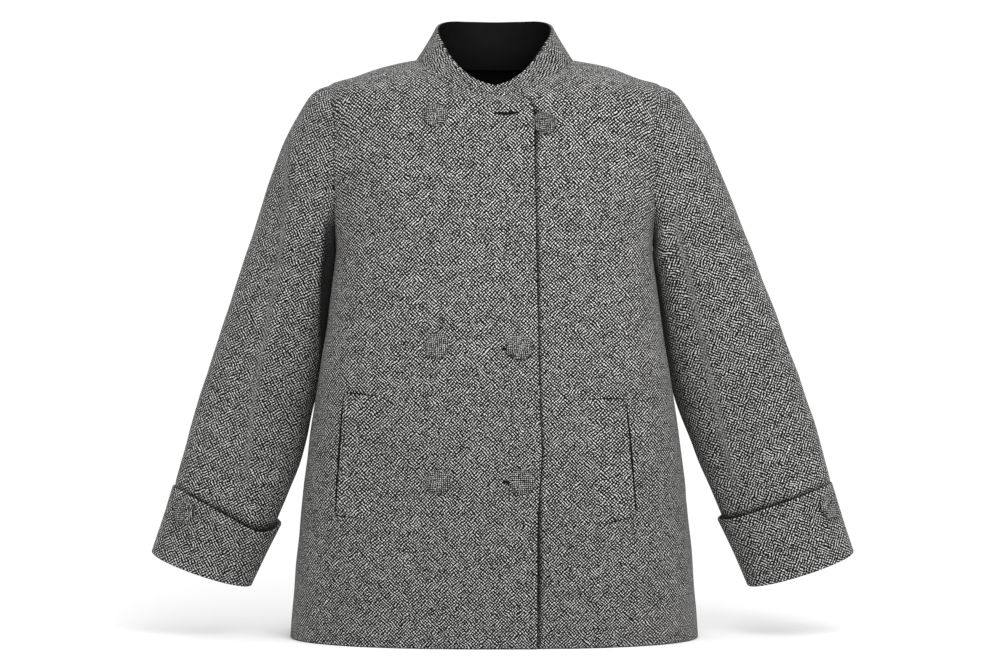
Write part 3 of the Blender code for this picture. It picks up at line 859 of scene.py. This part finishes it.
def sleeve(side, station, angle, inset=0.0):
    """Point of a sleeve, with angle 0 on its outer side and 90 degrees at the front."""
    out = OUT[side]
    row = np.moveaxis(smooth_row(SLEEVE_STATIONS, station), -1, 0)
    outer_x, outer_z, inner_x, inner_z, centre_y, half_depth, dip, outer_lean, inner_lean = row
    top = np.stack((outer_x + out * outer_lean, 0 * outer_x, outer_z), axis=-1)
    under = np.stack((inner_x + out * inner_lean, 0 * outer_x, inner_z), axis=-1)
    middle = (top + under) / 2
    middle[..., 1] = centre_y
    half_width = np.linalg.norm(top - under, axis=-1) / 2
    spread = unit(top - under)
    depth = unit(np.stack((0 * dip, -half_depth, -dip), axis=-1))
    cos, sin = np.cos(angle), np.sin(angle)
    normal_length = np.hypot(half_depth * cos, half_width * sin)
    away_out = half_depth * cos / normal_length
    away_front = half_width * sin / normal_length
    turn = np.arctan2(sin, cos) - RIDGE_ANGLE
    fade = ease(station, 2, 4) * ease(station, SLEEVE_END, SLEEVE_END - 2)
    raised = RIDGE_HEIGHT * fade * np.exp(-0.5 * (turn / RIDGE_SPREAD) ** 2) - inset
    point = middle + (half_width * cos + raised * away_out)[..., None] * spread
    point = point + (half_depth * sin + raised * away_front)[..., None] * depth
    point = point + armhole_rest(angle, station)
    return point * (out, 1, 1)


def armhole_place(angle):
    """Ring and angle of the torso at a place round the armhole."""
    ring = ARMHOLE_MIDDLE + ARMHOLE_HALF * np.cos(angle)
    spread = np.where(np.sin(angle) > 0, ARMHOLE_FRONT_SPREAD, ARMHOLE_BACK_SPREAD)
    ahead = np.where(np.sin(angle) > 0, 1, -1)
    return ring, np.pi / 2 - ahead * armhole(ring, spread)


def seam_allowance(side, angle, tuck):
    """Shift of a sleeve's first rows, tucked in under the panels round the armhole."""
    place = armhole_place(angle)
    point, normal = torso(*place), torso_normal(*place)
    away = point - point.mean(axis=0)
    away = unit(away - (away * normal).sum(axis=-1, keepdims=True) * normal)
    shift = tuck[:, 1:, None] * away - tuck[:, :1, None] * normal
    return shift * (OUT[side], 1, 1)


def armhole_rest(angle, station):
    """What takes the first rings of a sleeve from an even oval to the armhole's own curve."""
    curve = torso(*armhole_place(angle)) + (SEAM, 0, 0)
    outer_x, outer_z, inner_x, inner_z, centre_y, half_depth = SLEEVE_STATIONS[0][:6]
    cos, sin = np.cos(angle), np.sin(angle)
    x = (outer_x + inner_x) / 2 + (outer_x - inner_x) / 2 * cos
    z = (outer_z + inner_z) / 2 + (outer_z - inner_z) / 2 * cos
    oval = np.stack((x, centre_y - half_depth * sin, z), axis=-1)
    fade = 1 - ease(np.asarray(station), 0, SLEEVE_BLEND)
    return (curve - oval) * fade[..., None]


def sleeve_relief(side, points, angle, station):
    """Creases of a sleeve, on its front and on its back."""
    x, z = points[..., 0], points[..., 2]
    ahead = ease(np.sin(angle), *FACING)
    behind = ease(-np.sin(angle), *FACING)
    relief = ahead * crease_relief(SLEEVE_CREASES[side], x, z)
    relief = relief + behind * crease_relief(SLEEVE_BACK_CREASES, np.abs(x), z) + unevenness(x, z)
    column = 1 if side == "left" else 0
    rest = smooth_value(SLEEVE_REST, station)[column] * ease(-np.cos(angle), *INNER_SIDE)
    full = smooth_value(SLEEVE_FULL, station)[column] * ease(np.cos(angle), *OUTER_SIDE)
    return relief * ease(station, *CREASES_START) + rest + full


def crevice(side, points, angle):
    """Painted shade on a sleeve's inner side, close to the body."""
    edge, dark = smooth_value(CREVICE[side], points[..., 2])
    turn = np.degrees(np.mod(angle, 2 * np.pi))
    inside = ease(edge - np.abs(points[..., 0]), -CREVICE_BLUR / 2, CREVICE_BLUR / 2)
    return dark * inside * ease(turn, *CREVICE_FROM) * ease(turn, *CREVICE_TO)


def sleeve_weave(side, points, capped):
    """Places in the weave of a sleeve, with its rounded cap, or of its cuff."""
    ends = sleeve(side, np.array((0.0, SLEEVE_END)), np.full(2, np.pi / 2))
    grain = unit((ends[0] - ends[1]) * (1, 0, 1))
    inward = -OUT[side] * np.array((grain[2], 0, -grain[0]))
    up, seen = points @ grain, points @ inward
    across = seen_lengths(seen, across_lengths(points, up), 1)
    front = points.shape[1] // 4
    across = across + (seen[:, front] - across[:, front])[:, None]
    if capped:
        fallen = seen_lengths(up, lengths(points, 0), 0)
        up = up[-1:] + fallen[-1:] - fallen
    return turned(across, up, SLEEVE_GRAIN[side]) / SLEEVE_COARSE[side]


def cuff_edge_station(side, angle):
    """Station of a sleeve where the top edge of its cuff lies."""
    height, stand = smooth_value(CUFF_TABLE[side], np.degrees(angle), 360)
    last = sleeve(side, SLEEVE_END + 0 * angle, angle) - sleeve(side, SLEEVE_END - 1 + 0 * angle, angle)
    return SLEEVE_END - height / np.linalg.norm(last, axis=-1), stand


def sleeve_marks(side, points, station, angle, tucked):
    """Painted shade of a sleeve beside the body, above its cuff and on its tucked seam allowance, and its
    evened weave with a painted highlight band.
    """
    edge, stand = cuff_edge_station(side, angle)
    rise = (edge - station) * lengths(points, 0)[-1] / SLEEVE_END
    above_cuff = ease(stand, 0, CUFF_LOOSE) * bump(np.maximum(rise, 0), CUFF_SHADE_SPREAD)
    band_x, = smooth_value(HIGHLIGHT_BAND[side], points[..., 2])
    band = bump(np.abs(points[..., 0]) - band_x, BAND_SPREAD) * ease(np.sin(angle), *BAND_FACING)
    band = band * ease(station, *BAND_START) * ease(edge - station)
    painted_shade = np.maximum.reduce((above_cuff, crevice(side, points, angle), tucked + 0 * angle))
    return {"painted_shade": painted_shade[:, :-1], "softening_and_highlight": (SOFTENED + (1 - SOFTENED) * band)[:, :-1]}


def sleeve_piece(side):
    """One sleeve, from the armhole to its end inside the cuff."""
    down = np.interp(np.arange(SLEEVE_ROWS[-1][0] + 1), *np.transpose(SLEEVE_ROWS))
    tuck = np.vstack((SLEEVE_TUCK, np.zeros((len(down), 2))))
    turn = np.linspace(0, 2 * np.pi, SLEEVE_COLUMNS + 1)
    station, angle = grid(np.append(np.zeros(len(SLEEVE_TUCK)), down), turn)
    base = sleeve(side, station, angle)
    relief = sleeve_relief(side, base, angle, station) + seam_dip(lengths(base, 0), base[..., 2])
    edge, _ = cuff_edge_station(side, angle)
    relief = relief * (1 - ease(station - edge, *UNDER_CUFF))
    inward = ARMPIT_CLOSE[side] * bump(base[..., 2] - ARMPIT_Z, ARMPIT_SPREAD)
    inward = inward * ease(-np.cos(angle), *ARMPIT_SIDE)
    lift = shoulder_fill(base) + inward[..., None] * (-OUT[side], 0, 0)
    lift = lift + seam_allowance(side, turn, tuck)
    outer = sleeve(side, station, angle, -relief) + lift
    inner = sleeve(side, station, angle, WALL - relief) + lift
    walls = outer[:, :-1], inner[:, :-1]
    uv = sleeve_weave(side, base, True)
    marks = sleeve_marks(side, base, station, angle, tuck[:, :1] > 0)
    piece = shell("cloth_sleeve_" + side, walls, uv, wrap=True, marks=marks, rim_slots=SLEEVE_RIMS)
    return piece, base


def cuff_point(side, angle, up, out):
    """Point of a cuff, up from the sleeve's end and out from the sleeve's face."""
    end = sleeve(side, SLEEVE_END + 0 * angle, angle, -out)
    above = sleeve(side, SLEEVE_END - 1 + 0 * angle, angle, -out)
    length = np.linalg.norm(end - above, axis=-1)
    station = SLEEVE_END - np.clip(up, 0, None) / length
    below = np.clip(-up, 0, None)[..., None]
    return sleeve(side, station, angle, -out) + below * unit(end - above)


def cuff_outline(height, stand):
    """Up and out places of a cuff's closed outline, turned in under the end of the sleeve."""
    none = 0 * height
    parts = np.linspace(1, 0.04, CUFF_STEPS)
    outline = [(height * part, SEAM + stand * part ** CUFF_CURVE) for part in parts]
    outline += [(none - SEAM, none + SEAM), (none - SEAM, none - WALL)]
    for turn in np.linspace(0, np.pi, CUFF_FOLD_STEPS):
        up = -SEAM - WALL * (0.35 + 0.65 * np.sin(turn))
        outline.append((none + up, none - WALL + (2 * WALL + SEAM) * (1 - np.cos(turn)) / 2))
    outline += [(height * part, SEAM + WALL + stand * part ** CUFF_CURVE) for part in parts[::-1]]
    outline += [(height + 0.4 * WALL, SEAM + part * WALL + stand) for part in (0.8, 0.5, 0.2)]
    return outline


def cuff_piece(side, columns=144):
    """One turned-back cuff."""
    turn = np.linspace(0, 2 * np.pi, columns + 1)
    height, stand = smooth_value(CUFF_TABLE[side], np.degrees(turn), 360)
    outline = cuff_outline(height, stand)
    plain = np.stack([cuff_point(side, turn, up, out) for up, out in outline], axis=0)
    ahead = ease(np.sin(turn), *FACING)
    relief = ahead * crease_relief(CUFF_CREASES[side], plain[..., 0], plain[..., 2])
    relief = relief + 0.5 * unevenness(plain[..., 0], plain[..., 2])
    loops = [cuff_point(side, turn, up, out + move) for (up, out), move in zip(outline, relief)]
    points = np.stack(loops, axis=0)[:, :-1].reshape(-1, 3)
    count = len(outline)
    row, column = grid_cells(count, columns)
    faces = row % count * columns + column % columns
    places = np.minimum(row, count - 1) * (columns + 1) + column
    uv = sleeve_weave(side, plain, False).reshape(-1, 2)[places]
    marks = {"softening_and_highlight": np.full(len(points), CUFF_SOFTENED[side])}
    return cloth_piece("cloth_cuff_" + side, points, faces, uv, marks), plain[CUFF_LEAF]


def collar(turn, rise, inset=0.0):
    """Point of the collar, turned in degrees from the centre front by way of the wearer's right."""
    angle = -np.radians(turn)
    neck = NECK_RING + 0 * angle
    plain = torso(neck, angle)
    across = np.where(turn > 270, np.sign(360 - turn) * np.abs(plain[..., 0]), STEP_START)
    under = step_in(across)[..., None]
    base = plain + under * torso_normal(neck, angle)
    depth = np.where(np.cos(angle) > 0, COLLAR_FRONT, COLLAR_BACK)
    reach = np.hypot(np.sin(angle) / COLLAR_HALF_WIDTH, np.cos(angle) / depth) ** -1
    way_out = np.stack((np.sin(angle), -np.cos(angle)), axis=-1)
    top_z, = smooth_value(COLLAR_TOP, np.where(turn > 180, 360 - turn, turn))
    lean = np.clip((top_z - base[..., 2]) / COLLAR_FULL_RISE, 0, 1)
    share = (lean * (1 - (1 - rise) ** COLLAR_FLARE))[..., None]
    flat = base[..., :2] * (1 - share) + way_out * (reach[..., None] + under) * share
    flat = flat - np.asarray(inset)[..., None] * way_out
    height = (base[..., 2] + SEAM) * (1 - rise) + top_z * rise
    return np.concatenate((flat, height[..., None]), axis=-1)


def collar_piece(name, start, end, outside, wall):
    """The collar or its lining, which reaches down over the neck seam."""
    low = -LINING_DROP if outside else 0
    turn, rise = grid(np.linspace(start, end, COLLAR_COLUMNS), np.linspace(low, 1, COLLAR_ROWS + 1))
    face = outside + 0 * turn
    outer, inner = collar(turn, rise, face), collar(turn, rise, face + wall)
    up = lengths(outer, 1) + outer[:, :1, 2]
    across = lengths(outer[:, :1], 0) + 0 * up
    # Painted shade: the lining darker towards its bottom, the collar's outside a little darker all over
    shade = ease(rise, *LINING_SHADE_SPAN) if outside else COLLAR_SHADE + 0 * rise
    piece = shell(name, (outer, inner), turned(-across, up, 0), marks={"painted_shade": shade})
    if outside:
        line_all(piece)
    else:
        soft_edges(piece)
    return piece, outer


def welt_place(corners, across, down):
    """x and z of a place on a welt, from its free edge across and from its top down."""
    weights = ((1 - across) * (1 - down), (1 - across) * down, across * (1 - down), across * down)
    return (sum(weight * corner[axis] for weight, corner in zip(weights, corners)) for axis in range(2))


def on_front(side, x, z, lift):
    """Points over a front's face, and the face's directions there."""
    ring, angle = front_place(x, z)
    base, normal = torso(ring, angle), torso_normal(ring, angle)
    return base + (panel_offset(side, base) + lift)[..., None] * normal, normal


def welt_piece(side, corners, columns=16, rows=48):
    """One pocket welt, loose at its free edge and level with the front at its sewn edge."""
    across, down = grid(np.linspace(WELT_NARROWED, 1, columns + 1), np.linspace(0, 1, rows + 1))
    x, z = welt_place(corners, across, down)
    ends = WELT_SLENDERNESS * np.minimum(down, 1 - down)
    rim = np.minimum(across - WELT_NARROWED, ends)
    rounded = 0.5 * (1 - np.sqrt(1 - (1 - np.clip(rim / WELT_ROUNDING, 0, 1)) ** 2))
    thick = WELT_WALL * (1 - WELT_THINNED * ease(across, 0.5, 1))
    inner, normal = on_front(side, x, z, SEAM + WELT_LIFT * (1 - across) ** 2)
    outer = inner + (thick * (1 - rounded))[..., None] * normal
    return shell("cloth_pocket_welt_" + side, (outer, inner), turned(x, z, 0), inner_slot=0), inner


def slit_piece(name, side, x, z, over, half_width):
    """Thin lens of lining along a path on a front, for a dark opening and for a painted shadow line."""
    spread = np.linspace(-1, 1, 7)
    place_x = x[:, None] + over[0] * half_width[:, None] * spread
    place_z = z[:, None] + over[1] * half_width[:, None] * spread
    outer, normal = on_front(side, place_x, place_z, SLIT_LIFT * (1 - 0.9 * spread ** 2))
    inner = outer - 0.5 * SLIT_LIFT * normal
    piece = shell(name, (outer, inner), turned(place_x, place_z, 0))
    line_all(piece)
    return piece


def tapered(part, power):
    """Width along a slit, narrow at both ends."""
    return np.clip(np.sin(np.pi * part), SLIT_TIP, 1) ** power


def pocket_shadow_strip(side, edge, start, end, out, half_width, corners):
    """Strip of dark lining along one edge of a pocket's welt: the pocket's dark opening at its free edge,
    a painted shadow line at its top and bottom.
    """
    part = np.linspace(0, 1, 49)
    along, none = start + (end - start) * part, 0 * part
    across, down = {"free": (none, along), "top": (along, none), "bottom": (along, none + 1)}[edge]
    x, z = welt_place(corners, across, down)
    over = {"free": (OUT[side], 0), "top": (0, 1), "bottom": (0, -1)}[edge]
    uneven = 0.8 + 0.2 * np.sin(17 * part + 40 * start) * np.cos(29 * part)
    half = half_width * uneven * tapered(part, STRIP_TAPER)
    name = "_".join(("pocket_shadow_strip", side, edge))
    return slit_piece(name, side, x + out * over[0], z + out * over[1], over, half)


def buttonhole(name, start_x, end_x, z, half_height):
    """Slit of a buttonhole in the right front."""
    part = np.linspace(0, 1, 33)
    x, waver = start_x + (end_x - start_x) * part, HOLE_WAVER * np.sin(9 * part)
    return slit_piece(name, "right", x, z + waver, (0, 1), half_height * tapered(part, HOLE_TAPER))


def button_piece(name, seat, normal, dome, rim, rim_turn):
    """Domed button covered with finer cloth, gathered in at its rim."""
    side = unit(np.cross(normal, (0.0, 0.0, 1.0)))
    rise = np.cross(side, normal)
    turn = np.linspace(0, 2 * np.pi, BUTTON_SIDES, endpoint=False)
    profile = smooth_row(BUTTON_PROFILE, np.linspace(0, len(BUTTON_PROFILE) - 1, BUTTON_RINGS + 1))
    radius, height = profile[:-1, :1], profile[:-1, 1:]
    gathers = 1 + GATHER_DEPTH * np.sin(BUTTON_GATHERS * turn) * (1 - height) ** 2
    spoke = np.cos(turn)[None, :, None] * side + np.sin(turn)[None, :, None] * rise
    rings = seat + (BUTTON_RADIUS * radius * gathers)[..., None] * spoke
    rings = rings + (BUTTON_HEIGHT * height)[..., None] * normal
    points = np.concatenate((rings.reshape(-1, 3), [seat, seat + BUTTON_HEIGHT * normal]))
    row, column = grid_cells(BUTTON_RINGS - 1, BUTTON_SIDES)
    walls = (row * BUTTON_SIDES + column % BUTTON_SIDES).tolist()
    foot, crown = len(points) - 2, len(points) - 1
    last = (BUTTON_RINGS - 1) * BUTTON_SIDES
    for step in range(BUTTON_SIDES):
        after_step = (step + 1) % BUTTON_SIDES
        walls.append([foot, after_step, step])
        walls.append([crown, last + step, last + after_step])
    flat = turned((points - seat) @ side, (points - seat) @ rise, 45) / BUTTON_WEAVE + seat[[0, 2]]
    corners = np.array([corner for face in walls for corner in face])
    # Painted shade on the button: a dark rim, darkest at two opposite turns and eased off at its foot, and
    # a darker dome on some
    uneven = 0.6 + 0.4 * np.cos(2 * turn + rim_turn)
    round_rim = ease(height, *RIM_SHADE_SPAN) * (0.3 + 0.7 * ease(height, *FOOT_LIGHT_SPAN))
    shade = np.maximum(dome, rim * round_rim * uneven)
    painted_shade = np.concatenate((shade.ravel(), (rim / 3, dome)))
    piece = mesh_piece("cloth_" + name, points, walls, flat[corners], {"painted_shade": painted_shade}, (BUTTON_TWEED,))
    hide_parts(name)


def front_button(name, side, x, z, *shades):
    """Button on one of the fronts."""
    seat, normal = on_front(side, np.array(x), np.array(z), SEAM)
    button_piece(name, seat, normal, *shades)


def cuff_button(side, angle, up, *shades):
    """Button on the outer side of a cuff."""
    turn, turn_step, up_step = np.radians(angle), 0.05, 0.005
    height, stand = smooth_value(CUFF_TABLE[side], angle, 360)
    out = SEAM + WALL + CUFF_BUTTON_SEAT + stand * (up / height) ** CUFF_CURVE
    turns = turn + turn_step * np.array((0, -1, 1, 0, 0))
    ups = up + up_step * np.array((0, 0, 0, 1, 0))
    outs = out - WALL * np.array((0, 0, 0, 0, 1))
    seat, before, after, above, below = cuff_point(side, turns, ups, outs)
    normal = unit(np.cross(after - before, above - seat))
    normal = normal * np.sign(np.dot(normal, seat - below))
    button_piece("cuff_button_" + side, seat, normal, *shades)


class Nodes:
    """Short ways to add and join the nodes of a material."""

    def __init__(self, name):
        self.finish = bpy.data.materials.new(name)
        self.finish.use_nodes = True
        self.tree = self.finish.node_tree
        self.shader = self.tree.nodes["Principled BSDF"]

    def add(self, kind, inputs=(), **settings):
        """Node of a kind, with its settings, and its inputs joined or set."""
        node = self.tree.nodes.new(kind)
        for key, value in settings.items():
            setattr(node, key, value)
        for key, value in dict(inputs).items():
            if isinstance(value, bpy.types.NodeSocket):
                self.tree.links.new(value, node.inputs[key])
            else:
                node.inputs[key].default_value = value
        return node

    def math(self, operation, first, second=0.0, third=0.0):
        """Result of a sum on numbers or sockets."""
        return self.add("ShaderNodeMath", {0: first, 1: second, 2: third}, operation=operation).outputs[0]

    def vector(self, operation, first, second=(0, 0, 0), scale=1.0):
        """Result of a sum on vectors."""
        node = self.add("ShaderNodeVectorMath", {0: first, 1: second, 3: scale}, operation=operation)
        return node.outputs["Value" if operation == "DOT_PRODUCT" else "Vector"]

    def noise(self, place, scale, detail=2.0):
        """Noise texture at a scale in cells a metre."""
        return self.add("ShaderNodeTexNoise", {"Vector": place, "Scale": scale, "Detail": detail})

    def patches(self, place, scale, cut, low, high):
        """Noise from a low to a high value, which it keeps beyond a share at either end."""
        value = self.noise(place, scale).outputs["Fac"]
        inputs = {"Value": value, "From Min": cut, "From Max": 1 - cut, "To Min": low, "To Max": high}
        return self.add("ShaderNodeMapRange", inputs).outputs[0]

    def mark(self, name):
        """Value painted on the cloth's points."""
        return self.add("ShaderNodeAttribute", attribute_name=name).outputs["Fac"]

    def shaded(self, colour):
        """Colour darkened by the painted shade marked on the cloth's points."""
        light = self.math("MULTIPLY_ADD", self.mark("painted_shade"), -0.95, 1.0)
        return self.vector("SCALE", colour, scale=light)

    def relief(self, height, strength, distance):
        """Fine relief of a surface."""
        inputs = {"Height": height, "Strength": strength, "Distance": distance}
        return self.add("ShaderNodeBump", inputs).outputs["Normal"]

    def surface(self, joined, fixed):
        """The material, with some of its shader's inputs joined and others set."""
        for key, socket in joined.items():
            self.tree.links.new(socket, self.shader.inputs[key])
        for key, value in fixed.items():
            self.shader.inputs[key].default_value = value
        return self.finish


def tweed_finish(name, contrast, middle):
    """Coarse black and off-white weave, in diagonal threads that take turns to lie on top."""
    n = Nodes(name)
    place = n.add("ShaderNodeUVMap", uv_map="weave").outputs["UV"]
    centred = n.vector("SUBTRACT", n.noise(place, WAVER_CELLS).outputs["Color"], (0.5, 0.5, 0.5))
    moved = n.vector("ADD", place, n.vector("SCALE", centred, scale=WAVER))
    turn = 2 * np.pi / PERIOD * np.sqrt(0.5)
    waves = [n.math("SINE", n.vector("DOT_PRODUCT", moved, (turn, way * turn, 0))) for way in (1, -1)]
    choice, fibre, clump, patch = (n.patches(place, *row) for row in WEAVE_PATCHES)
    threads = n.math("MULTIPLY_ADD", choice, n.math("SUBTRACT", waves[0], waves[1]), waves[1])
    tone = n.math("MULTIPLY_ADD", threads, contrast, middle)
    tone = n.math("ADD", tone, n.math("ADD", fibre, n.math("ADD", clump, patch)))
    # Evened towards a lighter tone where marked: softened weave, and the painted highlight band down the
    # sleeves
    evened = n.math("MULTIPLY", n.mark("softening_and_highlight"), EVENED_SHARE)
    tone = n.math("MULTIPLY_ADD", evened, n.math("SUBTRACT", EVENED_TONE, tone), tone)
    ramp = n.add("ShaderNodeValToRGB", {"Fac": tone})
    for _ in TONES[2:]:
        ramp.color_ramp.elements.new(0.5)
    for stop, (at, grey) in zip(ramp.color_ramp.elements, TONES):
        stop.position = at
        stop.color = (*grey * TINT, 1)
    height = n.math("MULTIPLY_ADD", threads, 0.5, n.math("MULTIPLY", fibre, 0.3))
    # The painted shade darkens the weave's colour
    joined = {"Base Color": n.shaded(ramp.outputs["Color"]), "Normal": n.relief(height, *THREAD_RELIEF)}
    return n.surface(joined, {
        "Roughness": 0.92,
        "Specular IOR Level": 0.07,
        "Sheen Weight": 0.06,
        "Sheen Roughness": 0.6,
        "Sheen Tint": (0.9, 0.9, 0.88, 1.0),
    })


def lining_finish():
    """Black lining cloth with a fine twill."""
    n = Nodes("lining_twill")
    place = n.add("ShaderNodeUVMap", uv_map="weave").outputs["UV"]
    twill = n.math("SINE", n.vector("DOT_PRODUCT", place, TWILL))
    uneven = n.noise(place, 70.0, 3.0).outputs["Fac"]
    tone = n.math("MULTIPLY_ADD", twill, 0.12, uneven)
    ramp = n.add("ShaderNodeValToRGB", {"Fac": tone})
    ramp.color_ramp.elements[0].color = (0.0020, 0.0020, 0.0021, 1.0)
    ramp.color_ramp.elements[1].color = (0.0052, 0.0052, 0.0055, 1.0)
    # The painted shade darkens the lining's colour too
    joined = {"Base Color": n.shaded(ramp.outputs["Color"]), "Normal": n.relief(twill, *TWILL_RELIEF)}
    return n.surface(joined, {"Roughness": 0.7, "Specular IOR Level": 0.07})


def floor_finish():
    """Pale matt floor."""
    n = Nodes("pale_floor")
    place = n.add("ShaderNodeTexCoord").outputs["Object"]
    grain = n.patches(place, 3.0, 0.0, 0.95, 0.98)
    colour = n.add("ShaderNodeCombineColor", {0: grain, 1: grain, 2: grain}).outputs[0]
    return n.surface({"Base Color": colour}, {"Roughness": 0.9})


def studio():
    """Camera, pale floor and soft light."""
    scene = bpy.context.scene
    camera = bpy.data.objects.new("camera", bpy.data.cameras.new("camera"))
    camera.data.lens = 119.05
    camera.data.sensor_width = 36
    camera.location = (0.0114, -4.0, -0.3264)
    camera.rotation_euler = (np.pi / 2, 0, 0)
    scene.collection.objects.link(camera)
    scene.camera = camera
    ground = bpy.data.meshes.new("floor")
    half, low = 7.0, -0.686
    corners = [(half * x, half * y, low) for x, y in ((-1, -1), (1, -1), (1, 1), (-1, 1))]
    ground.from_pydata(corners, [], [(0, 1, 2, 3)])
    ground.materials.append(floor_finish())
    floor = bpy.data.objects.new("floor", ground)
    scene.collection.objects.link(floor)
    world = bpy.data.worlds.new("studio")
    world.use_nodes = True
    background = world.node_tree.nodes["Background"]
    background.inputs["Color"].default_value = (1, 1, 1, 1)
    background.inputs["Strength"].default_value = 1.05
    scene.world = world
    lamp = bpy.data.lights.new("soft_top", "AREA")
    lamp.energy = 17
    lamp.size = 0.9
    light = bpy.data.objects.new("soft_top", lamp)
    light.location = (0.30, -1.2, 0.45)
    light.rotation_euler = (np.radians(62), 0, np.radians(15))
    scene.collection.objects.link(light)
    scene.view_settings.view_transform = "Standard"


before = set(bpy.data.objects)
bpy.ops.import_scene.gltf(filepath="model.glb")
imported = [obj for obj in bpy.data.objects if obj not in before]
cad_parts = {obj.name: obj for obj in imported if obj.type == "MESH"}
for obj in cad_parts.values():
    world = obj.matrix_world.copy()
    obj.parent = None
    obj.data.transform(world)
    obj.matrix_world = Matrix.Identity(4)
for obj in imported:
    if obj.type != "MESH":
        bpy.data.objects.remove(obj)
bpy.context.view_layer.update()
TWEED = tweed_finish("tweed_weave", 1.25, 0.06)
BUTTON_TWEED = tweed_finish("button_weave", 1.0, 0.1)
LINING = lining_finish()
studio()

trims = {"right": [buttonhole(*row) for row in BUTTONHOLES], "left": []}
for hand, *corners in WELTS:
    trims[hand] += [pocket_shadow_strip(*row, corners) for row in POCKET_SHADOW_STRIPS if row[0] == hand]
    cloth(welt_piece(hand, corners), "pocket_welt_" + hand)
for hand in ("right", "left"):
    cloth(front_piece(hand), "front_" + hand)
    cloth(sleeve_piece(hand), "sleeve_" + hand)
    cloth(cuff_piece(hand), "cuff_" + hand)
cloth(back_piece(), "back")
made = collar_piece("cloth_collar", COLLAR_START, COLLAR_END, 0, WALL)
cloth(made, "collar")
made = collar_piece("cloth_collar_lining", LINING_START, LINING_END, WALL + SEAM, LINING_WALL)
cloth(made, "collar_lining")
for row in FRONT_BUTTONS:
    front_button(*row)
for row in CUFF_BUTTONS:
    cuff_button(*row)
